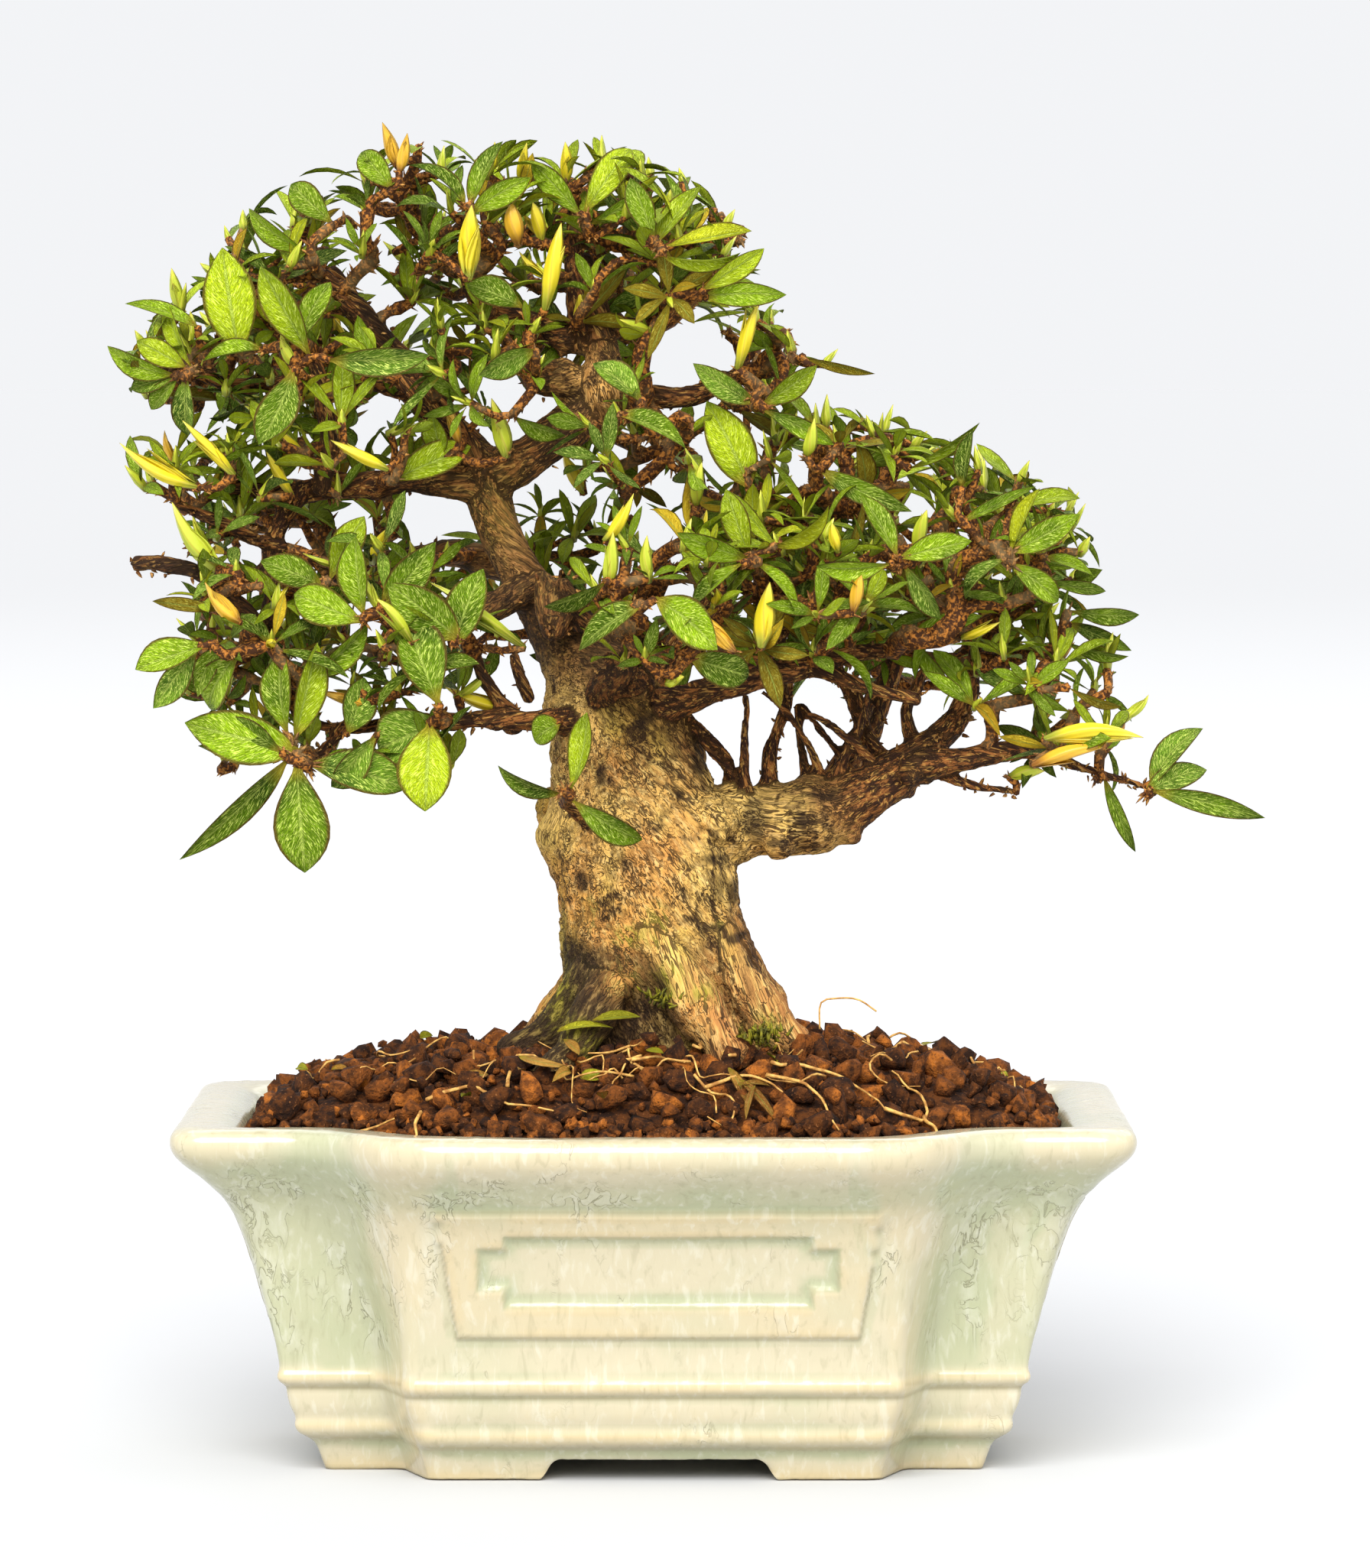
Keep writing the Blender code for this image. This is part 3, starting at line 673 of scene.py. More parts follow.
@dataclass(frozen=True)
class Bark:
    """Flaky tan bark on the trunk that turns red-brown on the boughs."""

    light: Colour = (0.85, 0.545, 0.145)
    pale: Colour = (0.94, 0.700, 0.300)
    warm: Colour = (0.66, 0.310, 0.075)
    root: Colour = (0.36, 0.145, 0.045)
    olive: Colour = (0.36, 0.285, 0.028)
    dark: Colour = (0.048, 0.022, 0.007)
    young: Colour = (0.034, 0.012, 0.005)
    rust: Colour = (0.30, 0.110, 0.026)

    def material(self) -> Material:
        """Mixes the colours by the bark's marks, with dark lines drawn out along each limb.

        Returns:
            The material.
        """
        made = Recipe("bark", 0.82, specular=0.2)
        old, stain, rust, crack, moss = (made.mark(k) for k in ("old", "stain", "rust", "crack", "moss"))
        broad = made.noise((75.0, 75.0, 50.0), 4.0)
        own = made.triple(*(made.mark(f"own_{k}") for k in range(3)))
        worm = made.noise(980.0, 1.0, 1.4, own)
        fleck = made.noise(1150.0, 3.0, 0.0, own)
        fine = made.noise(1700.0, 2.0, 1.2, own)
        edge = made.math("ABSOLUTE", made.less(worm, 0.5))
        broken = made.remap(made.noise(330.0, 2.0, 0.0, own), 0.40, 0.56, 0.25, 1.0)
        lines = made.times(made.remap(edge, 0.062, 0.020), broken)
        lines = made.math("MAXIMUM", lines, made.remap(fine, 0.41, 0.31, 0.0, 0.9))
        trunk = made.mix(made.remap(broad, 0.38, 0.62), self.warm, self.light)
        trunk = made.over(trunk, self.pale, fleck, 0.47, 0.64, 0.30)
        green = made.noise((48.0, 48.0, 38.0), 3.0)
        trunk = made.over(trunk, self.olive, green, 0.52, 0.66, 0.6)
        trunk = made.mix(made.times(rust, made.remap(fleck, 0.62, 0.42, 0.2, 0.9)), trunk, self.root)
        bough = made.mix(made.remap(fleck, 0.44, 0.62), self.young, self.rust)
        # Painted highlights: golden flecks on the dark boughs.
        bough = made.over(bough, (0.56, 0.30, 0.07), fine, 0.55, 0.66, 0.75)
        colour = made.mix(old, bough, trunk)
        colour = made.mix(made.times(lines, 0.90), colour, self.dark)
        knots = made.noise((135.0, 135.0, 75.0), 4.0, 0.8)
        spots = made.times(made.remap(knots, 0.585, 0.65), made.remap(fine, 0.62, 0.45, 0.35, 0.95))
        colour = made.mix(spots, colour, self.dark)
        colour = made.mix(crack, colour, self.dark)
        # stain holds real stains and painted shade on the front of the left root.
        stained_and_shaded = made.times(stain, made.remap(fleck, 0.66, 0.48, 0.72, 0.97))
        colour = made.mix(stained_and_shaded, colour, (0.028, 0.014, 0.006))
        mossy = made.times(moss, made.remap(fleck, 0.42, 0.60, 0.10, 0.85))
        colour = made.mix(mossy, colour, (0.30, 0.26, 0.018))
        height = made.less(made.plus(fleck, made.times(fine, 0.8)), lines)
        return made.dressed(colour, height, 0.42)


@dataclass(frozen=True)
class Twigs:
    """Scaly red-brown skin of the young wood."""

    name: str = "twig_bark"
    dark: Colour = (0.048, 0.016, 0.004)
    light: Colour = (0.46, 0.170, 0.026)

    def material(self) -> Material:
        """Blotches of two browns with small scales.

        Returns:
            The material.
        """
        made = Recipe(self.name, 0.75, specular=0.2)
        scale = made.noise(1500.0, 3.0, 0.6)
        colour = made.mix(made.remap(scale, 0.44, 0.68), self.dark, self.light)
        colour = made.over(colour, (0.27, 0.19, 0.08), made.noise(160.0, 2.0), 0.50, 0.72, 0.5)
        return made.dressed(colour, scale, 0.3)


@dataclass(frozen=True)
class LeafSkin:
    """A hairy leaf: quilted green with a pale midrib, pale hairs and a thin brown edge."""

    name: str
    light: Colour
    dark: Colour
    hair: Colour = (0.82, 0.92, 0.20)
    hairiness: float = 0.5

    def material(self) -> Material:
        """Hairs follow the leaf's own UV map: u runs across it and v from its foot to its tip.

        Returns:
            The material.
        """
        made = Recipe(f"leaf_{self.name}", 0.5, specular=0.10)
        u, v = made.across_and_along()
        aside = made.math("ABSOLUTE", made.times(made.less(u, 0.5), 2.0))
        along = made.less(made.times(v, 66.0), made.times(aside, 22.0))
        wander = made.times(made.noise(260.0, 1.0), 5.0)
        strokes = made.noise(1.0, 1.0, 0.7, made.triple(along, made.times(u, 12.0), wander))
        middle = made.remap(aside, 0.10, 0.03)
        hairs = made.remap(strokes, 0.52, 0.62)
        gaps = made.remap(strokes, 0.47, 0.36)
        colour = made.mix(made.remap(made.noise(110.0, 2.0), 0.28, 0.57), self.dark, self.light)
        colour = made.over(colour, self.dark, made.mark("shade"), -0.35, 1.0, 0.60)
        colour = made.mix(made.times(gaps, 0.52), colour, self.dark)
        colour = made.mix(made.times(hairs, 0.75 * self.hairiness), colour, self.hair)
        colour = made.mix(made.times(middle, 0.60), colour, (0.46, 0.58, 0.10))
        colour = made.over(colour, (0.10, 0.050, 0.010), aside, 0.80, 0.95, 0.90)
        colour = made.over(colour, (0.50, 0.36, 0.03), v, 0.24, 0.03, 0.80)
        height = made.less(made.times(hairs, 0.7), made.plus(gaps, middle))
        return made.dressed(colour, height, 0.20)


@dataclass(frozen=True)
class BudSkin:
    """A closed bud: waxy scales from a green or brown foot to a yellow tip."""

    name: str
    foot: Colour
    body: Colour
    tip: Colour

    def material(self) -> Material:
        """The colour runs along the bud, with fine brown lines between the scales.

        Returns:
            The material.
        """
        made = Recipe(f"bud_{self.name}", 0.4)
        u, v = made.across_and_along()
        colour = made.mix(made.remap(v, 0.05, 0.32), self.foot, self.body)
        colour = made.over(colour, self.tip, v, 0.72, 1.0)
        lines = made.math("SINE", made.plus(made.times(u, 25.0), made.times(v, 5.0)))
        colour = made.over(colour, (0.40, 0.22, 0.03), lines, 0.80, 1.0, 0.40)
        return made.dressed(colour, lines, 0.10)


@dataclass(frozen=True)
class Plain:
    """A small thing of one colour that varies a little."""

    name: str
    light: Colour
    dark: Colour

    def material(self) -> Material:
        """Blotches of the two colours.

        Returns:
            The material.
        """
        made = Recipe(self.name, 0.7, specular=0.35)
        blotch = made.noise(700.0, 3.0)
        return made.dressed(made.mix(made.remap(blotch, 0.35, 0.68), self.dark, self.light), blotch, 0.15)


@dataclass
class GlazedPot:
    """The pot: a flared box with a rounded notch at each corner, two beads, panels and bracket feet."""

    half_length: float = 80.0
    half_depth: float = 58.0
    underside: float = 4.7
    foot_width: float = 12.0
    outside: Rows = (
        (0.0, 24.9), (0.8, 24.6), (2.6, 24.0), (4.2, 23.4), (5.2, 22.6), (6.0, 21.5), (6.7, 20.6),
        (7.5, 20.1), (8.3, 19.95), (9.0, 20.05), (9.7, 19.9), (11.5, 19.15), (13.6, 18.65), (14.4, 18.6),
        (14.9, 18.2), (15.5, 17.5), (16.3, 17.1), (17.1, 17.15), (17.9, 17.4), (19.0, 17.35), (21.7, 16.9),
        (25.0, 16.1), (31.0, 14.5), (37.0, 12.7), (41.0, 11.3), (44.0, 10.0), (46.6, 8.4), (48.6, 6.6),
        (50.4, 4.8), (52.0, 3.0), (53.4, 1.6), (54.8, 0.6), (56.4, 0.15), (57.8, 0.35), (58.8, 1.2),
        (59.35, 2.8), (59.4, 4.6),
    )
    inside: Rows = (
        (59.3, 6.6), (59.0, 8.6), (58.4, 10.4), (57.0, 11.6), (54.5, 12.4), (50.0, 13.8), (42.0, 16.6),
        (26.0, 21.4), (10.5, 26.0),
    )
    counts: tuple[int, ...] = (82, 10, 6, 10, 8, 8, 26)
    frame_z: tuple[float, float] = (25.0, 46.5)
    tall_z: tuple[float, float] = (30.4, 42.5)
    low_z: tuple[float, float] = (33.2, 40.4)
    middle_x: float = 0.8

    def plan(self, z: Array, inset: Array, wall: Array) -> Array:
        """Level outlines: a rectangle with a notch in each corner, its bends rounded by parabolas.

        Args:
            z: Height of each outline.
            inset: How far its sides lie inside the rim's widest point.
            wall: How far the notch's faces have moved in with the wall.

        Returns:
            Points as outlines by columns by x, y and z, clockwise from the middle of the back.
        """
        flare = smooth(z, 17.0, 56.0)
        length, depth = self.half_length - inset, self.half_depth - inset
        notch, run = 12.0 + 3.5 * flare, 4.5 + 9.5 * flare
        panel = 37.5 + 3.5 * smooth(z, 0.0, 17.0) - wall
        soft = 2.2 + 6.0 * flare
        zero = np.zeros_like(z)
        pairs = (
            (zero, depth), (panel, depth), (panel + run, depth - notch), (length, depth - notch),
            (length, zero),
        )
        knots = [np.stack(pair, axis=-1) for pair in pairs]
        parts, start = [], knots[0]
        for i in (1, 2, 3):
            back, on = knots[i - 1] - knots[i], knots[i + 1] - knots[i]
            reach = np.minimum(soft if i < 3 else 0.8 * soft, 0.45 * size_of(back))
            reach = np.minimum(reach, 0.45 * size_of(on))[:, None]
            a, b = knots[i] + unit(back) * reach, knots[i] + unit(on) * reach
            t = np.linspace(0, 1, self.counts[2 * i - 2], endpoint=False)[None, :, None]
            parts.append(start[:, None] * (1 - t) + a[:, None] * t)
            t = np.linspace(0, 1, self.counts[2 * i - 1], endpoint=False)[None, :, None]
            parts.append(a[:, None] * (1 - t) ** 2 + knots[i][:, None] * 2 * t * (1 - t) + b[:, None] * t * t)
            start = b
        t = np.linspace(0, 1, self.counts[6])[None, :, None]
        parts.append(start[:, None] * (1 - t) + knots[4][:, None] * t)
        q = np.concatenate(parts, axis=1)
        flip = q[:, ::-1]
        quarters = (q, flip[:, 1:] * (1, -1), q[:, 1:] * (-1, -1), flip[:, 1:-1] * (-1, 1))
        whole = np.concatenate(quarters, axis=1)
        return np.concatenate([whole, np.broadcast_to(z[:, None, None], (*whole.shape[:2], 1))], axis=-1)

    @staticmethod
    def relief(grid: Array, height: Array) -> Array:
        """Moves a grid's points along its normals, the cross products of its two gradients.

        Args:
            grid: Points as outlines by columns by x, y and z.
            height: How far out each one moves.

        Returns:
            The moved grid.
        """
        along = np.roll(grid, -1, axis=1) - np.roll(grid, 1, axis=1)
        normal = unit(np.cross(along, np.gradient(grid, axis=0)))
        outwards = np.sign((normal[40, :, :2] * grid[40, :, :2]).sum())
        return grid + normal * outwards * height[..., None]

    def panel(
        self, across: Array, z: Array, half: tuple[float, float], field_half: tuple[float, float]
    ) -> tuple[Array, Array]:
        """A raised frame round a sunken field with stepped ends, as distances inside their edges.

        Args:
            across: Distance from the panel's middle line.
            z: Height.
            half: The frame's half width at its foot and at its top.
            field_half: The field's half width in its taller and in its lower part.

        Returns:
            How far inside the frame and inside the field each point lies, below 0 outside them.
        """
        (foot, top), away = self.frame_z, np.abs(across)
        wide = half[0] + (half[1] - half[0]) * (z - foot) / (top - foot)
        boxes = ((wide, self.frame_z), (field_half[0], self.tall_z), (field_half[1], self.low_z))
        frame, tall, low = (np.minimum(side - away, np.minimum(z - a, b - z)) for side, (a, b) in boxes)
        return frame, np.maximum(tall, low)

    def wall_shape(self) -> Shape:
        """The whole wall with its feet, as one ring of outlines that closes under the soil.

        The outlines climb the outside, cross the rim and come down the inside. Where a gap between
        two feet lies, the lowest ones are lifted to the pot's underside.

        Returns:
            The wall, with the marks of its glaze.
        """
        sides = ((self.outside, 132), (self.inside, 26))
        outer, inner = (curve([(inset, 0.0, z) for z, inset in side], n)[:, [2, 0]] for side, n in sides)
        under = np.array([(6.0, 25.0 + self.foot_width), (0.0, 24.9 + self.foot_width), (0.0, 30.0)])
        z, inset = np.vstack([under, outer, inner]).T
        deep = smooth(59.5 - z, 0.0, 6.0)
        wall = np.r_[[9.0, 9.0, 4.0], np.zeros(len(outer)), 3.0 + 3.0 * deep[-len(inner) :]]
        grid = self.plan(z, inset, wall)
        x, y = np.abs(grid[..., 0]), np.abs(grid[..., 1])
        lift = np.maximum(fall(np.abs(grid[..., 0] - self.middle_x), 16.0, 19.8), fall(y, 8.8, 12.2))
        low = np.clip(1.0 - grid[..., 2] / self.underside, 0.0, 1.0) * lift
        grid[..., 2] += low * (self.underside - grid[..., 2]) * 0.97
        front = (y > x * 0.2 + 15.0) & (x < 42.0)
        frame, sunk = self.panel(grid[..., 0] - self.middle_x, grid[..., 2], (33.0, 36.4), (25.3, 29.6))
        side_frame, side_sunk = self.panel(grid[..., 1], grid[..., 2], (19.5, 22.5), (12.0, 16.0))
        frame, sunk = np.where(front, frame, side_frame), np.where(front, sunk, side_sunk)
        out = np.zeros_like(x)
        shell = slice(3, 3 + len(outer))
        out[shell] = (0.85 * smooth(frame, -0.3, 0.35) - 0.9 * smooth(sunk, -0.5, 1.3))[shell]
        out -= 0.16 * (1.0 + waves(grid, 17.0, 3, 2)) + 0.05 * waves(grid * (1, 1, 0.35), 1.3, 5, 2)
        grid = self.relief(grid, out)
        marks = self.wall_marks(grid, smooth(x - 0.2 * y, 31.0, 48.0), frame, sunk)
        return Shape(grid.reshape(-1, 3), grid_faces(*x.shape, ring=True, closed=True), None, marks).outward()

    @staticmethod
    def wall_marks(grid: Array, ends: Array, frame: Array, sunk: Array) -> dict[str, Array]:
        """Where the glaze pools or takes painted shade, runs thin or is scaly, and where lines of painted
        shade lie, each 0 to 1.

        It runs thin over ridges and pools in hollows. Both are told by the wall's bend, a weighted sum
        of its second differences round the pot and up it, taken along the way out of the pot.

        Args:
            grid: The wall's points, as outlines by columns by x, y and z.
            ends: 1 on the pot's short sides and its corners, 0 on its long sides.
            frame: How far inside a panel's frame each point lies.
            sunk: How far inside a panel's field it lies.

        Returns:
            The marks by name, each a flat row.
        """
        bend = np.roll(grid, 4, axis=1) + np.roll(grid, -4, axis=1) - 2 * grid
        lean = np.zeros_like(grid)
        lean[3:-3] = grid[6:] + grid[:-6] - 2 * grid[3:-3]
        away = unit(grid * (1, 1, 0))
        ridge = -((bend + 1.6 * lean) * away).sum(-1)
        height = grid[..., 2]
        # The band under the rim's lip is partly pooled glaze and partly painted shade; the band under the
        # lower bead is painted shade.
        pool_and_shade = 0.75 * bell((height, 49.0, 3.4)) + 0.75 * bell((height, 5.0, 1.1))
        pool_and_shade += np.where(sunk > -0.3, 0.75 * bell((sunk, 0.0, 1.9)), 0.0)
        side = ends * (1.0 - 0.75 * smooth(height, 49.0, 57.0))
        # Greener short sides and corners; the extra share on the left side is painted shade.
        green = 0.65 * side * smooth(height, 16.0, 20.0) * (1.0 + 0.45 * (grid[..., 0] < 0))
        pool_and_shade += 0.35 * smooth(-ridge, 0.1, 0.6) + green
        thin = 0.35 * smooth(ridge, 0.16, 0.8) * (1.0 - side) + 0.9 * fall(height, 0.4, 3.6)
        thin += 0.50 * smooth(frame, -0.2, 0.6) * fall(sunk, -0.5, 0.5)
        thin += 0.8 * bell((height, 16.8, 0.9)) + 0.7 * bell((height, 8.2, 0.9))
        rim = bell((frame, -2.2, 1.8)) * smooth(height, 30.0, 40.0)
        scaly = (side + rim) * smooth(height, 17.0, 26.0) * fall(height, 48.0, 53.0)
        # Painted shade: dark lines under both beads, round the panels' frames and fields and along the bottom
        # edge.
        seam = bell((height, 14.7, 0.45)) + 0.8 * bell((height, 5.8, 0.7))
        seam += 0.8 * bell((frame, -0.15, 0.28)) * (height < 48.0)
        seam += 0.35 * bell((sunk, 0.1, 0.35)) + 0.8 * fall(height, 0.1, 1.0)
        marks = {"pool_and_shade": pool_and_shade, "thin": thin, "scaly": scaly, "seam": seam}
        return {key: np.clip(values, 0, 1).ravel() for key, values in marks.items()}

    def floor_shape(self) -> Shape:
        """The pot's floor: two outlines, closed by fans to their middles, thick enough to meet the wall.

        Returns:
            The floor, with the same marks as the wall.
        """
        z = np.array([4.95, 4.95, 10.4, 10.4])
        grid = self.plan(z, np.array([58.0, 26.0, 27.0, 57.9]), np.array([30.0, 6.0, 6.0, 30.0]))
        grid[[0, 3], :, :2] *= 0.01
        marks = {"pool_and_shade": 0.2, "thin": 0.4, "scaly": 0.0, "seam": 0.3}
        marks = {key: np.full(grid.shape[0] * grid.shape[1], value) for key, value in marks.items()}
        faces = grid_faces(*grid.shape[:2], ring=True, closed=True)
        return Shape(grid.reshape(-1, 3), faces, None, marks).outward()

    def build(self, bench: Bench) -> None:
        """Puts the pot, which stands for the CAD pot and its feet.

        Args:
            bench: Makes the piece.
        """
        feet = tuple(f"foot_{a}_{b}" for a in ("front", "back") for b in ("left", "right"))
        shape = Shape.joined([self.wall_shape(), self.floor_shape()])
        bench.put("glazed_pot", shape, Glaze().material(), ("pot", *feet))

    def mouth(self, turn: Array) -> Array:
        """How far the soil's edge lies from the pot's middle in each direction.

        Args:
            turn: The directions, as angles from the x axis.

        Returns:
            One distance for each.
        """
        edge = self.plan(np.array([56.5]), np.array([12.2]), np.array([5.0]))[0]
        angle = np.arctan2(edge[:, 1], edge[:, 0])
        order = np.argsort(angle)
        return np.interp(turn, angle[order], np.hypot(edge[order, 0], edge[order, 1]), period=TURN)


@dataclass
class GranularSoil:
    """A mound of baked clay granules with rootlets, fallen leaves and a little moss."""

    pot: GlazedPot
    edge_z: float = 56.3
    top_z: float = 68.6
    top_half: tuple[float, float] = (29.0, 21.0)
    tries: int = 7600
    largest: float = 3.1
    smallest: float = 0.75
    shapes: int = 9
    corners: int = 17
    seed: int = 11
    edge_tries: int = 620
    thin_roots: int = 46
    more_fallen: int = 22
    moss_spikes: int = 80
    stones: Rows = ((65.5, -6.0, 60.2, 3.2), (66.0, -12.0, 58.6, 2.6), (58.0, -20.0, 62.5, 2.8))
    heights: tuple[float, ...] = (54.0, 58.5, 63.0, 67.0, 70.0, 78.0)
    root_depths: tuple[float, ...] = (-46.0, -42.5, -34.0, -27.0, -22.0)
    litter_depths: tuple[float, ...] = (-47.5, -44.0, -36.0, -29.0, -25.0, -19.0)
    fallen: Rows = (
        (-16.5, 71.5, -7.5, 74.6, 3.0, 0), (-10.5, 73.4, -2.5, 75.0, 3.2, 0), (6.5, 76.6, 10.0, 79.6, 2.4, 1),
        (-23.0, 67.4, -15.0, 64.6, 3.0, 1), (12.5, 65.4, 16.5, 61.0, 2.0, 1),
        (14.5, 63.4, 21.5, 58.2, 1.8, 1), (14.0, 62.4, 20.5, 63.6, 1.8, 1), (17.0, 62.4, 15.0, 58.4, 1.6, 1),
        (-15.4, 70.2, -12.2, 68.0, 2.6, 1),
    )

    def height(self, x: Array, y: Array) -> Array:
        """The mound's height: level near the trunk, then falling by a rounded slope to the rim.

        Args:
            x: Across.
            y: Depth.

        Returns:
            The height over each place.
        """
        turn = np.arctan2(y, x)
        far = self.pot.mouth(turn)
        near = 1.0 / np.hypot(np.cos(turn) / self.top_half[0], np.sin(turn) / self.top_half[1])
        share = np.clip((far - np.hypot(x, y)) / (far - near), 0.0, 1.0)
        slope = 0.95 - 0.25 * np.abs(np.cos(turn))
        rise = np.sin(share * math.pi / 2) ** slope
        lump = 1.2 * bell((x, 51.0, 7.0), (y, -2.0, 12.0))
        rough = waves(np.stack([x, y, 0 * x], -1), 13.0, 41, 2)
        clump = 2.6 * bell((x, 1.0, 5.0), (y, -22.0, 4.0))
        lumps = (lump + clump + 0.7 * rough) * smooth(share, 0.02, 0.2)
        return self.edge_z + (self.top_z - self.edge_z) * rise + lumps

    def bed(self) -> Shape:
        """The dark fine soil under the granules: rings from the middle out, then down the wall and back.

        Returns:
            The bed as one closed shape.
        """
        turn = circle(160)
        share = np.r_[0.002, np.linspace(0.05, 0.985, 40)]
        reach = share[:, None] * self.pot.mouth(turn)[None, :]
        x, y = reach * np.cos(turn), reach * np.sin(turn)
        z = self.height(x, y) - 1.3
        grid = np.stack([x, y, z + 0.5 * waves(np.stack([x, y, z], -1), 2.4, 9, 2)], -1)
        low = grid[-1:] * (0.97, 0.97, 0.0) + (0, 0, 50.0)
        grid = np.concatenate([grid, low, low * (0.01, 0.01, 1.0)])
        return Shape(grid.reshape(-1, 3), grid_faces(*grid.shape[:2], ring=True)).outward()

    def one_granule(self, seed: int) -> tuple[Array, Array]:
        """The hull of random points near a sphere, so that it has few flat uneven faces.

        Args:
            seed: Which hull it is.

        Returns:
            The hull's points, of size 1, and its faces.
        """
        rng = np.random.default_rng(seed)
        cloud = unit(rng.normal(size=(self.corners, 3))) * rng.uniform(0.72, 1.18, (self.corners, 1))
        made = bmesh.new()
        for point in cloud:
            made.verts.new(point)
        found = bmesh.ops.convex_hull(made, input=made.verts)
        unused = [part for part in found["geom_unused"] if isinstance(part, bmesh.types.BMVert)]
        bmesh.ops.delete(made, geom=unused, context="VERTS")
        bmesh.ops.recalc_face_normals(made, faces=made.faces)
        made.verts.index_update()
        points = np.array([v.co[:] for v in made.verts])
        faces = np.array([[*(v.index for v in f.verts), -1] for f in made.faces])
        made.free()
        return points, faces

    def scatter(self) -> tuple[Array, Array]:
        """Places and sizes: from large to small, each where it touches no larger one too deeply.

        Returns:
            The granules' middles and their radii.
        """
        rng = np.random.default_rng(self.seed)
        share = rng.power(0.55, self.tries) ** 1.15
        size = np.sort(self.smallest + (self.largest - self.smallest) * share)[::-1]
        turn, out = rng.uniform(0, TURN, self.tries), np.sqrt(rng.uniform(0, 1, self.tries))
        reach = out * (self.pot.mouth(turn) - 0.6 * size)
        spot = around(turn, reach)
        kept = np.zeros(self.tries, bool)
        for i in range(self.tries):
            near = np.hypot(*(spot[kept] - spot[i]).T)
            kept[i] = bool(np.all(near > 0.80 * (size[kept] + size[i])))
        spot, size = spot[kept], size[kept]
        lift = size * rng.uniform(-0.25, 0.55, len(size)) - 0.4
        extra = rng.choice(len(size), len(size) // 4)
        spot = np.vstack([spot, spot[extra] + rng.normal(0, 1.6, (len(extra), 2))])
        more = size[extra] * rng.uniform(0.45, 0.8, len(extra))
        lift = np.r_[lift, 0.9 + more * 0.5]
        size = np.r_[size, more]
        turn = rng.uniform(0, TURN, self.edge_tries)
        spot = np.vstack([spot, around(turn, self.pot.mouth(turn) - rng.uniform(0.7, 5.0, self.edge_tries))])
        small = rng.uniform(0.7, 1.6, self.edge_tries)
        size, lift = np.r_[size, small], np.r_[lift, 0.3 * small]
        turn = np.arctan2(spot[:, 1], spot[:, 0])
        inside = np.hypot(*spot.T) < self.pot.mouth(turn) - 0.5 * size
        spot, size, lift = spot[inside], size[inside], lift[inside]
        z = self.height(spot[:, 0], spot[:, 1]) + lift
        placed = np.vstack([np.column_stack([spot, z, size]), self.stones])
        return placed[:, :3], placed[:, 3]

    def granules(self) -> list[Shape]:
        """All granules in three tones: each a turned and stretched copy of one of a few hulls.

        Returns:
            One shape for each tone.
        """
        place, size = self.scatter()
        rng = np.random.default_rng(self.seed + 1)
        turn = np.array([Quaternion(row).to_matrix() for row in unit(rng.normal(size=(len(size), 4)))])
        stretch = size[:, None] * rng.uniform(0.75, 1.15, (len(size), 3))
        kind, tone = rng.integers(0, self.shapes, len(size)), rng.choice(3, len(size), p=[0.4, 0.4, 0.2])
        made: list[list[Shape]] = [[], [], []]
        for k in range(self.shapes):
            points, faces = self.one_granule(100 + k)
            for t in range(3):
                mine = (kind == k) & (tone == t)
                wide = points[None] * stretch[mine][:, None]
                solid = np.einsum("nij,npj->npi", turn[mine], wide) + place[mine][:, None]
                offset = (np.arange(mine.sum()) * len(points))[:, None, None]
                rows = np.where(faces >= 0, faces + offset, -1).reshape(-1, 4)
                made[t].append(Shape(solid.reshape(-1, 3), rows))
        return [Shape.joined(one) for one in made]

    def lying(self, points: Array, radius: float, lift: float) -> tuple[Array, Array]:
        """A thread over the granules that grows thinner.

        Args:
            points: Its rows of x, y and how far it bends up.
            radius: Its radius at its start.
            lift: How far it lies above the mound.

        Returns:
            Its centre line and its radii.
        """
        rows = np.asarray(points, float)
        z = self.height(rows[:, 0], rows[:, 1]) + lift + rows[:, 2]
        path = curve(np.column_stack([rows[:, :2], z]), 14)
        return path, radius * (1.0 - 0.6 * np.linspace(0, 1, 14))

    def rootlets(self, sight: Sight) -> Shape:
        """Pale threads: those that the photograph shows in front, then seeded ones all round.

        Args:
            sight: The photograph's camera.

        Returns:
            The threads as one shape.
        """
        seen = (
            ((20, 66.8), (25, 66.8), (32, 65.8), (37, 62.8), (39, 61.8)),
            ((19, 63.8), (25, 61.8), (28, 60.2), (31, 56)), ((39, 61.8), (46, 63.3), (45, 66), (40, 69)),
            ((46, 63.8), (48, 61), (49, 59.5)), ((-39, 62.8), (-31, 62.8), (-26, 60.3), (-17, 59.3)),
            ((-25, 61.8), (-24, 67.8), (-20, 68), (-17, 64.8)), ((-6, 65.8), (0, 66.5), (5, 65.8)),
            ((-40, 61.5), (-40.6, 58), (-40, 55.6)), ((9, 62), (16, 63.5), (22, 61)),
            ((-56, 60), (-50, 62.5), (-44, 62)),
        )
        paths, radii = [], []
        for rows in seen:
            flat = np.array(rows, float)
            depth = np.interp(flat[:, 1], self.heights[:5], self.root_depths)
            spot = sight.through(flat[:, 0], flat[:, 1], depth)
            path, radius = self.lying(np.column_stack([spot[:, :2], 0.4 + 0 * depth]), 0.36, 1.6)
            path += 0.5 * np.stack([waves(path, 3.0, 200 + k) for k in range(3)], axis=1)
            paths.append(path)
            radii.append(radius)
        rng = np.random.default_rng(self.seed + 10)
        for _ in range(self.thin_roots):
            turn = rng.uniform(0, TURN)
            way = np.array([math.cos(turn), math.sin(turn)])
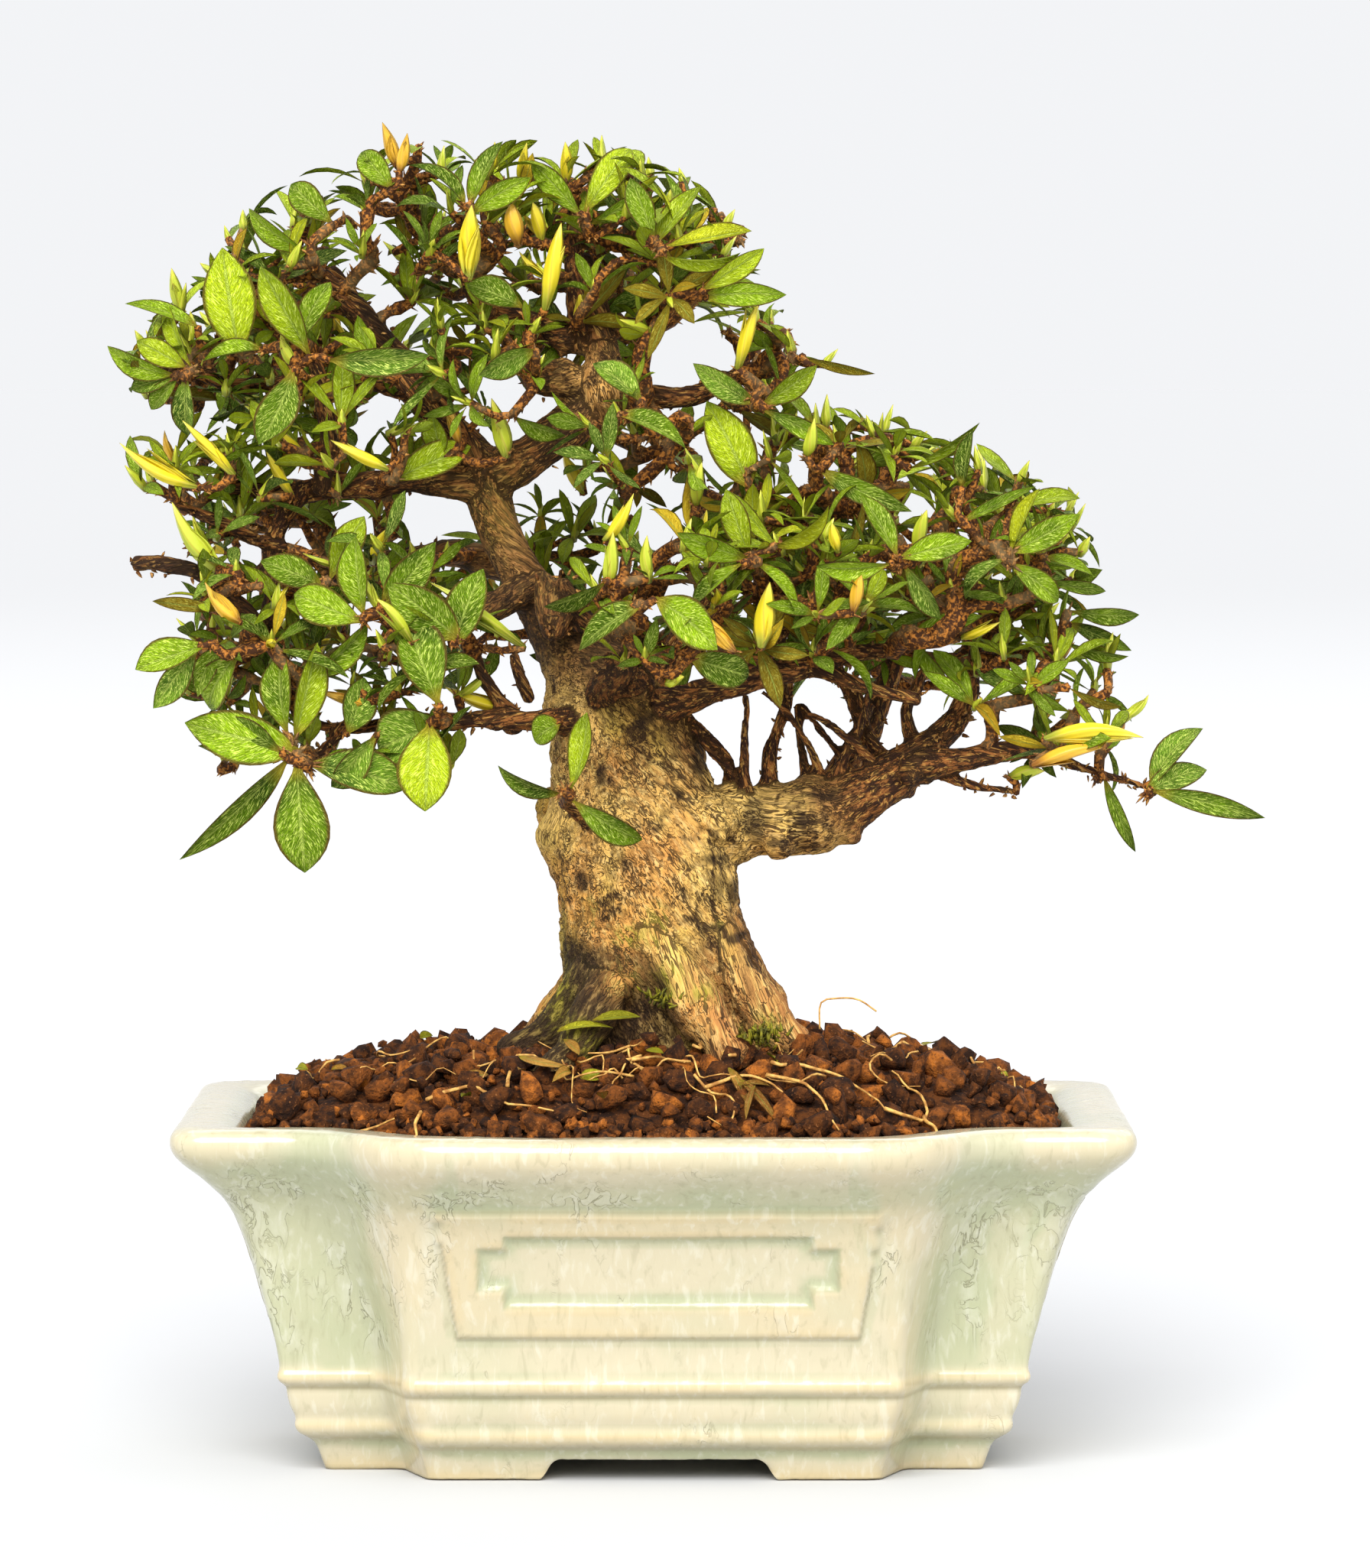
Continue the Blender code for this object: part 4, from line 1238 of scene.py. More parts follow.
            start = way * rng.uniform(0.45, 0.92) * self.pot.mouth(np.array(turn))
            heading = rng.uniform(0, TURN) + np.cumsum(rng.normal(0, 0.7, 5))
            steps = np.cumsum(np.stack([np.cos(heading), np.sin(heading)], 1) * rng.uniform(1.5, 3.6), axis=0)
            rows = start + np.vstack([[0, 0], steps])
            away = np.hypot(*rows.T)
            rows *= np.minimum(1.0, 0.93 * self.pot.mouth(np.arctan2(rows[:, 1], rows[:, 0])) / away)[:, None]
            rows = np.column_stack([rows, rng.uniform(-1.2, 1.4, 6)])
            path, radius = self.lying(rows, rng.uniform(0.16, 0.32), 1.5)
            paths.append(path)
            radii.append(radius)
        hair = np.array([(28.0, 72.0), (28.2, 76.4), (31.0, 77.2), (34.5, 77.0), (37.6, 75.0)])
        paths.append(curve(sight.through(hair[:, 0], hair[:, 1], np.full(5, -14.0)), 14))
        radii.append(np.full(14, 0.17))
        return tubes(np.array(paths), np.array(radii), 6)

    def litter(self, sight: Sight) -> "LeafRows":
        """Fallen leaves: the photograph's, as feet and tips on the mound, then seeded ones all round.

        Args:
            sight: The photograph's camera.

        Returns:
            The leaves, whose tone is 0 for a faded and 1 for a dried one.
        """
        rows = np.array(self.fallen)
        depth = np.interp(rows[:, [1, 3]], self.heights, self.litter_depths)
        foot = sight.through(rows[:, 0], rows[:, 1], depth[:, 0])
        tip = sight.through(rows[:, 2], rows[:, 3], depth[:, 1])
        rng = np.random.default_rng(self.seed + 12)
        more = self.more_fallen
        turn = rng.uniform(0, TURN, more)
        spot = around(turn, rng.uniform(0.5, 0.9, more) * self.pot.mouth(turn))
        low = np.column_stack([spot, self.height(*spot.T) + 1.8])
        foot = np.concatenate([foot, low])
        tip = np.concatenate([tip, low + rng.uniform((-6, -6, 0), (6, 6, 1.5), (more, 3))])
        many = len(foot)
        width = np.r_[rows[:, 4], rng.uniform(1.6, 3.2, more)]
        tone = np.r_[rows[:, 5], rng.integers(0, 2, more)].astype(int)
        way, up = unit(tip - foot), np.array([0, -0.5, 0.9]) + rng.normal(0, 0.25, (many, 3))
        curl, fold = rng.normal(0.3, 0.4, many), np.radians(rng.normal(30, 14, many))
        return LeafRows(foot, way, up, size_of(tip - foot), width, curl, fold, rng.normal(0, 0.2, many),
                        rng.uniform(0.6, 1.0, many), tone)

    def moss(self, sight: Sight) -> Shape:
        """Two tufts of short green spikes at the trunk's foot.

        Args:
            sight: The photograph's camera.

        Returns:
            The spikes as one shape.
        """
        rng = np.random.default_rng(self.seed + 13)
        tufts = sight.through(np.array([18.5, 2.0]), np.array([71.0, 77.0]), np.array([-24.0, -18.0]))
        spot = np.repeat(tufts, self.moss_spikes, axis=0)
        spot = spot + rng.normal(0, 1, spot.shape) * (1.5, 1.0, 0.8)
        way = unit(rng.normal(0, 0.6, spot.shape) + (0, -0.5, 1.0)) * rng.uniform(0.7, 1.7, (len(spot), 1))
        path = spot[:, None] + way[:, None] * np.array([-0.4, 0.4, 1.0])[None, :, None]
        return tubes(path, np.broadcast_to([0.28, 0.22, 0.05], (len(spot), 3)), 4)

    def build(self, bench: Bench, sight: Sight) -> None:
        """Puts the bed, the granules in three tones, the rootlets, the fallen leaves and the moss.

        Args:
            bench: Makes the pieces.
            sight: The photograph's camera.
        """
        dark = Clay("clay_dark", (0.098, 0.029, 0.004), (0.017, 0.005, 0.001))
        middle = Clay("clay_brown", (0.215, 0.062, 0.008), (0.050, 0.015, 0.002))
        red = Clay("clay_red", (0.39, 0.118, 0.014), (0.11, 0.031, 0.004))
        bench.put("soil_bed", self.bed(), dark.material(), ("soil",))
        for clay, shape in zip((dark, middle, red), self.granules()):
            bench.put(clay.name.replace("clay", "granules"), shape, clay.material())
        roots = Plain("rootlet", (0.78, 0.46, 0.12), (0.34, 0.15, 0.03))
        bench.put("rootlets", self.rootlets(sight), roots.material())
        litter = self.litter(sight)
        faded = LeafSkin("faded", (0.60, 0.56, 0.03), (0.26, 0.24, 0.01), hairiness=0.1)
        dried = LeafSkin("dried", (0.74, 0.38, 0.06), (0.34, 0.13, 0.02), (0.85, 0.60, 0.20), 0.5)
        for i, skin in enumerate((faded, dried)):
            bench.put(f"fallen_{skin.name}", litter.shape(litter.tone == i), skin.material())
        green = Plain("moss_green", (0.24, 0.215, 0.006), (0.06, 0.058, 0.003))
        bench.put("moss", self.moss(sight), green.material())


@dataclass
class Limb:
    """One limb: its name and its centre line, as rows of x, y, z and radius."""

    name: str
    rows: Rows

    def line(self, spacing: float) -> Array:
        """Points along the limb, spacing apart.

        Args:
            spacing: The distance between two points.

        Returns:
            Rows of x, y, z and radius, at least four.
        """
        rows = np.array(self.rows, float)
        length = size_of(np.diff(rows[:, :3], axis=0)).sum()
        return curve(rows, max(4, int(length / spacing)))


def limbs(**rows: Rows) -> tuple[Limb, ...]:
    """A limb for each name and its rows."""
    return tuple(Limb(name, line) for name, line in rows.items())


TRUNK = Limb("trunk", (
    (0.6, 0, 67.5, 20.0), (0.6, 0, 73, 18.2), (0.6, 0, 79, 16.8), (0, 0, 85, 16.2), (-1.2, 0, 92, 15.2),
    (-1.8, 0, 100, 15.6), (-3.5, 0, 109, 14.8), (-5, 0, 117, 12.6), (-6.5, 1, 125, 11.0), (-11, 2, 133, 7.8),
    (-17, 3, 141, 5.2), (-22.5, 3, 149, 3.8), (-26.5, 2, 157, 3.8), (-28, 1, 164, 4.0), (-27, 1, 169, 3.6),
))
BOUGHS = limbs(
    bough_right=((3, 0, 105.5, 9), (12, 0, 106.5, 7.8), (18, 0, 107.1, 5.9), (25, -1, 108, 6.6),
        (31, -1, 109.3, 5.5), (36, -1, 112.5, 4.3), (42, -1, 116.5, 3.8), (47, -1, 120, 3.3)),
    bough_right_rise=((45, -1, 118.6, 3.3), (50, 0, 123, 2.7), (52.6, 1, 128, 2.1), (54, 1, 133, 1.7),
        (55, 1, 139, 1.4)),
    bough_right_tail=((41, -2, 115.8, 2.8), (52, -6, 118.8, 2.2), (60, -7, 119.5, 1.8), (67, -8, 118.4, 1.4),
        (74, -8, 116, 0.95), (84, -8, 113, 0.8)),
    bough_right_inner=((18, 1, 109, 2.2), (20, 1, 119, 1.4), (21.5, 1, 126, 1.3), (24, 0, 135, 1.2)),
    bough_right_cross=((41.5, 0, 114.4, 2), (36.5, 3, 121, 1.5), (33, 4, 128, 1.3), (31, 5, 136, 1.1)),
    bough_right_back=((25, 1, 108, 3.2), (33, 13, 116, 2.6), (38, 23, 124, 2.3), (42, 31, 134, 1.9)),
    bough_centre_right=((-3, -1, 126, 3), (9, -7, 129.5, 2.3), (16, -10, 134, 1.9), (22, -13, 141, 1.6)),
    bough_front=((-9, -4, 128, 3.2), (-8, -14, 132, 2.7), (-4, -22, 136, 2.1), (-2, -28, 142, 1.6)),
    bough_left_low=((-9, -3, 124.5, 2.8), (-21, -10, 124.8, 2.1), (-31, -13, 125.2, 1.7),
        (-40, -14, 125.6, 1.5), (-50, -14, 124, 1.2), (-58, -13, 125, 1)),
    bough_left_middle=((-20, 1, 147, 3), (-30, -6, 142.5, 2.2), (-38, -10, 140, 1.9), (-44, -12, 140, 1.6)),
    bough_left_arm=((-27, 1, 163.5, 3.6), (-38, 0, 165.5, 2.8), (-47, -1, 164.3, 2.4), (-56, -2, 163.4, 2.1),
        (-64, -3, 163, 1.8), (-72, -4, 164, 1.5)),
    bough_left_drop=((-60, -3, 163, 2), (-64, -5, 156, 1.7), (-64.5, -6, 148, 1.5), (-65, -7, 140, 1.3)),
    bough_left_rise=((-27, 2, 164, 4.2), (-34, 4, 172.5, 3.7), (-39.5, 5, 179, 3.4), (-44.5, 5, 186, 3),
        (-50, 5, 193, 2.5), (-56, 5, 200, 2)),
    bough_left_tip=((-40, 4, 180.5, 2.4), (-50, 0, 182, 1.9), (-60, -2, 181.5, 1.7), (-70, -3, 181.5, 1.4),
        (-78, -3, 184, 1.1)),
    bough_apex=((-27, 1, 166, 4), (-19, 0, 170.4, 4.1), (-12.5, -1, 174.6, 3.6), (-8.6, -1, 181, 3.6),
        (-9, 0, 188, 3.0), (-11, 1, 195, 3), (-13, 1, 203, 2.3)),
    bough_apex_left=((-9, 0, 188, 3), (-19, 1, 190.4, 2.3), (-27, 2, 194, 2), (-33, 2, 201, 1.6)),
    bough_shoulder=((-9, -1, 179.5, 3), (-1, -2, 178.8, 2.3), (7, -2, 179.6, 1.9), (14, -1, 183, 1.6)),
    bough_crest=((-6, 3, 123, 3.4), (2, 6, 134, 2.8), (11, 8, 146, 2.4), (20, 6, 157, 1.9),
        (27, 3, 163, 1.6)),
    bough_back_low=((-5, 6, 120, 3.6), (-7, 18, 125, 3), (-9, 29, 131, 2.5), (-10, 38, 138, 1.9)),
    bough_back_left=((-22, 4, 150, 3.2), (-34, 15, 152, 2.6), (-45, 24, 151, 2.2), (-55, 30, 150, 1.7)),
    bough_back_rise=((-40, 6, 180, 2.6), (-46, 16, 184, 2.1), (-52, 25, 186, 1.7), (-57, 31, 189, 1.4)),
    bough_back_heart=((11, 8, 147, 2.2), (11, 16, 154, 1.9), (9, 23, 161, 1.7), (6, 30, 168, 1.4)),
    bough_back_top=((-12, 0, 175, 3), (-9, 11, 182, 2.5), (-8, 20, 189, 2), (-8, 29, 195, 1.6)),
)
SHOOTS = limbs(
    rise_g=((15, -2, 113, 1.1), (11, -3, 118, 0.85), (7.6, -3, 122, 0.75), (5.5, -3, 127, 0.6)),
    rise_h=((29, 1, 113.5, 1.2), (26.5, 0, 119, 0.9), (23.5, -1, 124, 0.8), (18, -2, 129.5, 0.7)),
    rise_i=((30, -1, 114, 1.3), (33.6, -2, 121, 1.0), (36, -2, 130, 0.8)),
    rise_j=((37, -2, 117, 1.2), (32, -3, 122, 0.9), (25, -3, 126, 0.7)),
    rise_k=((38, 2, 117, 1.1), (35.5, 3, 124, 0.9), (34, 3, 132, 0.8)),
    rise_a=((13, 0, 112, 1.7), (12, -2, 118, 1.1), (7, -4, 124.5, 0.8)),
    rise_b=((15.5, -3, 112, 1.4), (15, -5, 120, 1.0), (15.5, -7, 129, 0.9)),
    rise_c=((26, 2, 113, 1.4), (25, 3, 119, 1.0), (24, 4, 127, 0.9)),
    rise_d=((34, 1, 114.5, 1.3), (30, 3, 120, 0.9), (25, 4, 127, 0.8)),
    rise_e=((30, 2, 113, 1.5), (33, 4, 120, 1.1), (36.5, 5, 127, 0.9)),
    rise_f=((44, 0, 118, 1.8), (43, 3, 125, 1.4), (46, 5, 133, 1.1)),
    rough_branch=((1, -6, 127, 3), (8, -9, 129.2, 2.6), (15, -10, 131.5, 2.2), (27, -9, 134.5, 1.9),
        (40, -6, 136.5, 1.5)),
    cut_twig=((24, -9, 134, 1.5), (34, -12, 131.2, 1.4), (44.5, -13, 128.8, 1.3)),
    low_twig=((46, -2, 116.5, 1.6), (53, -4, 113.5, 1.1), (61, -5, 112.2, 0.7)),
    dead_peel=((-19, -4, 149, 1.6), (-17, -9, 144, 3.2), (-16.5, -9, 139, 2.4)),
    dead_stub=((-12, -5, 141, 2.5), (-14, -10, 146, 2.0), (-15, -12, 149, 1.2)),
    hub=((-8, -1, 176, 3.4), (-8.5, -3.0, 181, 4.2), (-8.8, -2, 186, 3.0)),
    callus=((-11, -2, 116, 3.5), (-13.2, -3, 110, 5.4), (-14, -3, 104, 6.0), (-12.6, -2, 97, 4.2),
        (-12, -1, 93, 3)),
    root_left=((-8, -7, 88, 3.8), (-11.5, -9, 80, 3.8), (-16.6, -9, 73.5, 3.4), (-25.5, -10, 68.8, 2.2)),
    root_left_front=((-7, -11, 82, 3.6), (-10, -16, 76, 4.2), (-14, -21, 70, 3.4), (-19, -27, 65.5, 2.4)),
    root_front=((-2, -12, 90, 3.5), (4, -15, 82, 4.4), (9, -18, 75, 4.4), (14, -23, 68.5, 3.4)),
    root_right=((6.5, -6, 93, 4.0), (12, -8, 84, 4.6), (17.4, -8, 76, 4.4), (24.5, -9, 69.6, 3.3)),
    root_right_back=((9, 6, 88, 4.2), (15, 11, 79, 5.0), (20, 17, 71, 4.2), (25, 24, 65.5, 2.8)),
    root_back=((-1, 11, 88, 4.0), (-3, 16, 79, 5.0), (-5, 22, 71, 4.2), (-7, 29, 65.5, 2.8)),
    root_left_back=((-8, 6, 88, 3.6), (-12, 11, 79, 4.2), (-17.5, 15, 71, 3.8), (-24.5, 21, 65.5, 2.6)),
    stump=((-14, -2, 181.5, 3.4), (-18, -5, 182, 3.6), (-20.5, -7, 182.4, 3.4)),
    thick_top=((-12, 0, 188, 2.6), (-13, -2, 198, 2.0), (-13.5, -3, 211, 1.5)),
    left_upright=((-56, -6, 163, 1.9), (-54.5, -8, 173, 1.8), (-57, -9, 186, 1.4)),
    left_red=((-46, 3, 188, 2.3), (-50, 0, 193.5, 2.2), (-56, -3, 199.5, 1.6)),
    left_cross=((-43, -2, 182, 1.5), (-34, -2, 174.5, 1.6), (-28, 0, 167, 1.8)),
    cut_stub=((-66, -10, 140, 1.8), (-75, -13, 149.5, 1.7), (-87, -13, 151.3, 1.6)),
    far_left=((-62, -5, 153.5, 1.5), (-71, -9, 157, 1.3), (-80, -12, 161.8, 1.1)),
    left_dark=((-22, -6, 124, 1.5), (-26, -10, 128, 1.3), (-30, -12, 136, 1.1)),
    left_dark_b=((-21, -6, 128, 1.4), (-24, -9, 136, 1.1)),
    drop_twig=((-50, -14, 126, 1.3), (-55, -15, 120.5, 1.2), (-58, -16, 118, 1.1)),
    hem_twig=((-38, -14, 126, 1.2), (-40, -16, 121, 1.0), (-42, -17, 118, 0.9)),
    sprout_twig=((-11, -12, 108, 1.5), (-13.5, -16, 110, 1.2), (-15, -18.5, 111.5, 1.0)),
)
KNOBS = (
    (-3, -10, 131, 3.4), (-5, -12, 119.5, 2.4), (26, -1.5, 107.8, 6.9), (10, -7, 108, 5.0),
    (33, -2, 105.2, 2.2), (-10, 2, 126, 8.6), (-27, 2, 159, 3.9), (-28, 1, 165, 4.6), (-9, -7, 126, 3.6),
    (-15.5, -3, 183, 3.2), (-6.5, -16, 80.6, 3.5), (37, -3, 111, 3.0), (-24, -3, 124, 2.4),
    (-47, -1, 164, 2.9), (-40, 5, 180, 3.8), (3, 8, 118, 6.0), (-14, 9, 108, 6.0), (21, -5, 103.6, 3.2),
)


@dataclass
class Wood:
    """Trunk, boughs and old shoots as one skin with the bark's relief."""

    grain: float = 0.62
    ridge_depth: float = 1.5
    flake_depth: float = 0.22
    knots: int = 90
    seed: int = 31
    ridges: Rows = (
        (-0.45, 0.30, 0.13), (0.5, 0.3, 0.10), (-2.55, 0.32, 0.12), (2.4, 0.3, 0.12), (1.6, 0.25, 0.08),
        (-1.35, 0.22, 0.05),
    )
    tufts: Rows = (
        (-16.5, 80, 2.2, 4.2), (-13, 74, 3.4, 1.6), (3, 83, 3, 2), (8, 80, 2.4, 1.6), (19, 74, 2, 2),
        (-4, 89, 3.4, 2),
    )
    scars: Rows = (
        (7.1, 118.0, 1.6, 3.6), (0.3, 107.0, 1.3, 1.0), (10.0, 101.5, 2.6, 1.0), (17.0, 108.0, 2.2, 3.6),
        (28.0, 112.0, 2.6, 1.3), (21.0, 104.0, 2.6, 1.0), (6.0, 91.6, 2.0, 0.7), (9.6, 90.2, 2.2, 0.7),
        (13.6, 88.2, 1.8, 0.8), (-2.0, 124.5, 2.0, 1.4), (4.0, 112.5, 0.9, 0.9), (-12.0, 98.0, 1.0, 2.4),
        (-5.0, 101.0, 0.8, 1.6), (13.0, 96.0, 1.0, 2.4), (25.0, 108.0, 1.0, 1.4), (-9.0, 116.0, 0.9, 2.0),
        (5.0, 96.0, 0.8, 1.2),
    )

    def limbs(self) -> tuple[Limb, ...]:
        """Every limb that the skin covers."""
        return (TRUNK, *BOUGHS, *SHOOTS)

    def trunk_shape(self) -> Shape:
        """The trunk: rings of radius r(z)(1 + roots(angle)) round its centre line, level at its foot.

        The roots are a sum of cosines of 2, 3 and 5 times the angle, and ridges that widen downwards.

        Returns:
            The trunk as one closed shape.
        """
        rows = TRUNK.line(1.0)
        turn = circle(96)
        low = fall(rows[:, 2], 67.5, 94.0)[:, None]
        lobes = 0.10 * np.cos(2 * turn) + 0.07 * np.cos(3 * turn + 0.5) + 0.05 * np.cos(5 * turn)
        swell = 1.0 + low * lobes
        for at, wide, high in self.ridges:
            gap = np.angle(np.exp(1j * (turn - at)))
            swell = swell + low**1.5 * high * bell((gap, 0.0, wide)) - low**1.5 * high * 0.25
        along = unit(np.gradient(rows[:, :3], axis=0))
        side = unit(np.array([0, 1, 0]) - along * along[:, 1:2])
        across = np.cross(side, along)
        level = fall(rows[:, 2], 84.0, 118.0)[:, None]
        across = unit(across * (1 - level) + np.array([1, 0, 0]) * level)
        side = unit(side * (1 - level) + np.array([0, 1, 0]) * level)
        reach = rows[:, 3:] * swell
        grid = rows[:, None, :3] + across[:, None] * (np.cos(turn) * reach)[..., None]
        grid = grid + side[:, None] * (np.sin(turn) * reach)[..., None]
        foot, top = (grid[[k]] * 0.02 + rows[k, :3] * 0.98 for k in (0, -1))
        grid = np.concatenate([foot, grid, top])
        return Shape(grid.reshape(-1, 3), grid_faces(*grid.shape[:2], ring=True)).outward()

    def rough_shape(self) -> Shape:
        """The trunk, the limbs with small bends, and round knobs, as overlapping closed shapes.

        Returns:
            All of them as one shape.
        """
        parts = [self.trunk_shape()]
        for i, limb in enumerate(self.limbs()[1:]):
            rows = limb.line(1.2)
            bend = np.stack([waves(rows[:, :3], 7.0, 60 + 3 * i + k, 2) for k in range(3)], axis=1)
            hold = np.minimum(1.0, np.arange(len(rows)) / 6.0)[:, None]
            path = rows[:, :3] + bend * hold * 0.7
            radius = rows[:, 3] * (1.0 + 0.16 * waves(rows[:, :3], 3.4, 300 + i))
            parts.append(tubes(path[None], radius[None], 14))
        rng = np.random.default_rng(self.seed)
        for i in rng.integers(0, len(BOUGHS), self.knots):
            rows = BOUGHS[i].line(1.5)
            row = rows[rng.integers(2, len(rows) - 1)]
            out = unit(rng.normal(size=3))
            path = row[:3] + out * np.linspace(0.3, 1.0, 4)[:, None] * (row[3] + rng.uniform(0.6, 2.6))
            radius = np.full((1, 4), rng.uniform(0.8, 1.4)) * min(1.0, row[3] / 2.2)
            parts.append(tubes(path[None], radius, 7))
        for x, y, z, r in KNOBS:
            path = np.array([x, y, z]) + np.linspace(-0.8, 0.8, 9)[:, None] * r * np.array([0.3, 0.2, 0.95])
            radius = r * np.sqrt(np.maximum(1.0 - np.linspace(-0.93, 0.93, 9) ** 2, 0.02))
            parts.append(tubes(path[None], radius[None], 18))
        return Shape.joined([Shape(p.points, p.faces) for p in parts])

    def skin(self, bench: Bench) -> tuple[Array, Array, Array]:
        """The rough shape made one skin by a voxel remesh and evened out.

        Args:
            bench: Makes the rough piece, which is removed again.

        Returns:
            The skin's points, their normals and its faces.
        """
        rough = bench.put("rough_wood", self.rough_shape(), bpy.data.materials.new("rough"))
        remesh = rough.modifiers.new("one_skin", "REMESH")
        remesh.mode, remesh.voxel_size = "VOXEL", self.grain * MM
        even = rough.modifiers.new("even", "SMOOTH")
        even.factor, even.iterations = 0.5, 4
        done = rough.evaluated_get(bpy.context.evaluated_depsgraph_get()).to_mesh()
        count = len(done.vertices)
        points, normals = np.empty(count * 3, np.float32), np.empty(count * 3, np.float32)
        done.vertices.foreach_get("co", points)
        done.vertices.foreach_get("normal", normals)
        corners = np.empty(len(done.loops), np.int32)
        done.loops.foreach_get("vertex_index", corners)
        faces = corners.reshape(-1, 4)
        points = (points.reshape(-1, 3) - bench.middle) / MM
        bpy.data.objects.remove(rough)
        return points.astype(float), normals.reshape(-1, 3).astype(float), faces

    def nearest(self, points: Array) -> tuple[Array, Array]:
        """The radius of the limb that lies nearest to each point, and the point's place on that limb.

        Args:
            points: Places on the skin.

        Returns:
            The limbs' radii, and own places: the offset across the limb plus a share of the run along it
            on all three axes, so that a pattern read there is drawn out along the limb.
        """
        lines = [limb.line(2.0) for limb in self.limbs()]
        rows = np.concatenate(lines)
        ways = np.concatenate([unit(np.gradient(line[:, :3], axis=0)) for line in lines])
        steps = [size_of(np.diff(line[:, :3], axis=0, prepend=line[:1, :3])) for line in lines]
        runs = np.concatenate([np.cumsum(step) + 37.0 * i for i, step in enumerate(steps)])[:, None]
        rate = np.where(np.arange(len(rows)) < len(lines[0]), 0.36, 0.20)[:, None]
        best = np.empty(len(points), int)
        for start in range(0, len(points), 4000):
            part = points[start : start + 4000]
            away = size_of(part[:, None] - rows[None, :, :3]) - rows[None, :, 3]
            best[start : start + 4000] = away.argmin(axis=1)
        offset, way = points - rows[best, :3], ways[best]
        ahead = (offset * way).sum(1, keepdims=True)
        return rows[best, 3], offset - way * ahead + rate[best] * (runs[best] + ahead)

    def marks(self, points: Array, radius: Array) -> dict[str, Array]:
        """How old, rusty, mossy and cracked the bark is at each point, and how dark from stains and painted
        shade, each 0 to 1.

        Each mark is the largest of several patches: S curves of place, bells round one place, and noise.

        Args:
            points: Places on the skin.
            radius: The radius of the limb at each one.

        Returns:
            The marks by name.
        """
        x, y, z = points.T
        old = np.maximum(smooth(radius, 3.6, 7.0), fall(z, 88.0, 96.0))
        old = old * (1.0 - 0.75 * smooth(z + 0.5 * x, 118.0, 128.0)) * fall(x, 29.0, 37.0)
        hub = bell((x, -9.0, 6.0), (z, 181.0, 5.0))
        fork = bell((x, -25.0, 10.0), (z, 154.0, 13.0))
        old = np.maximum(old, np.maximum(0.9 * hub, 0.28 * fork))
        moss = sum(bell((x, a, w), (z, b, h)) for a, b, w, h in self.tufts) * smooth(-y, 2.0, 8.0)
        moss = np.maximum(moss, 0.6 * smooth(waves(points, 10.0, 23, 2), 0.60, 0.90) * fall(z, 90.0, 115.0))
        edge = 4.0 * waves(points, 9.0, 14, 2)
        # Dark front of the left root: partly stain, partly painted shade of its crevices.
        stain = fall(z + 0.6 * edge + 0.35 * x, 80.0, 87.0) * fall(x + edge, -3.0, 3.0) * smooth(-y, 2.0, 6.0)
        stain = np.maximum(stain, 0.80 * smooth(waves(points, 15.0, 19, 2), 0.55, 0.80))
        collar = smooth(z, 125.0, 132.0) * fall(z, 148.0, 158.0) * smooth(-x, -2.0, 6.0)
        stain = np.maximum(stain, collar * (0.62 + 0.38 * waves(points, 5.0, 29, 2)))
        burl = bell((x, -5.2, 3.2), (z, 81.8, 2.8)) * smooth(-y, 9.0, 14.0)
        stain, moss = stain * (1.0 - 0.8 * burl), np.maximum(moss, 0.40 * burl)
        ragged = 0.35 * waves(points, 1.8, 61, 2)
        for a, b, w, h in self.scars:
            away = np.hypot((x - a) / w, (z - b) / h) + ragged
            stain = np.maximum(stain, 0.9 * fall(away, 0.5, 1.3) * (y < 4.0))
        # The trunk's foot grows darker towards the soil, less so on the right.
        stain = np.maximum(stain, (0.85 - 0.50 * smooth(x, 0.0, 8.0)) * fall(z + 0.8 * edge, 69.0, 74.0))
        rust = 0.85 * smooth(x + edge, 0.0, 10.0) * fall(z + edge, 80.0, 92.0)
        rust = np.maximum(rust, 0.7 * bell((x + 2.0 + 0.4 * edge, 0.0, 3.0), (z, 116.0, 8.0)))
        rust = np.maximum(rust, fall(np.abs(z - 121.0), 3.0, 9.0) * (0.5 + 0.5 * waves(points, 6.0, 15)))
        flow = np.stack([0.80 * x + 0.60 * z, y, (0.80 * z - 0.60 * x) * 0.16], axis=1)
        streak = fall(np.abs(waves(flow, 2.3, 87, 2)), 0.02, 0.16) * fall(z, 86.0, 96.0)
        marks = {"old": old, "stain": stain, "rust": rust, "moss": moss, "crack": 0.9 * streak}
        return {key: np.clip(values, 0, 1) for key, values in marks.items()}

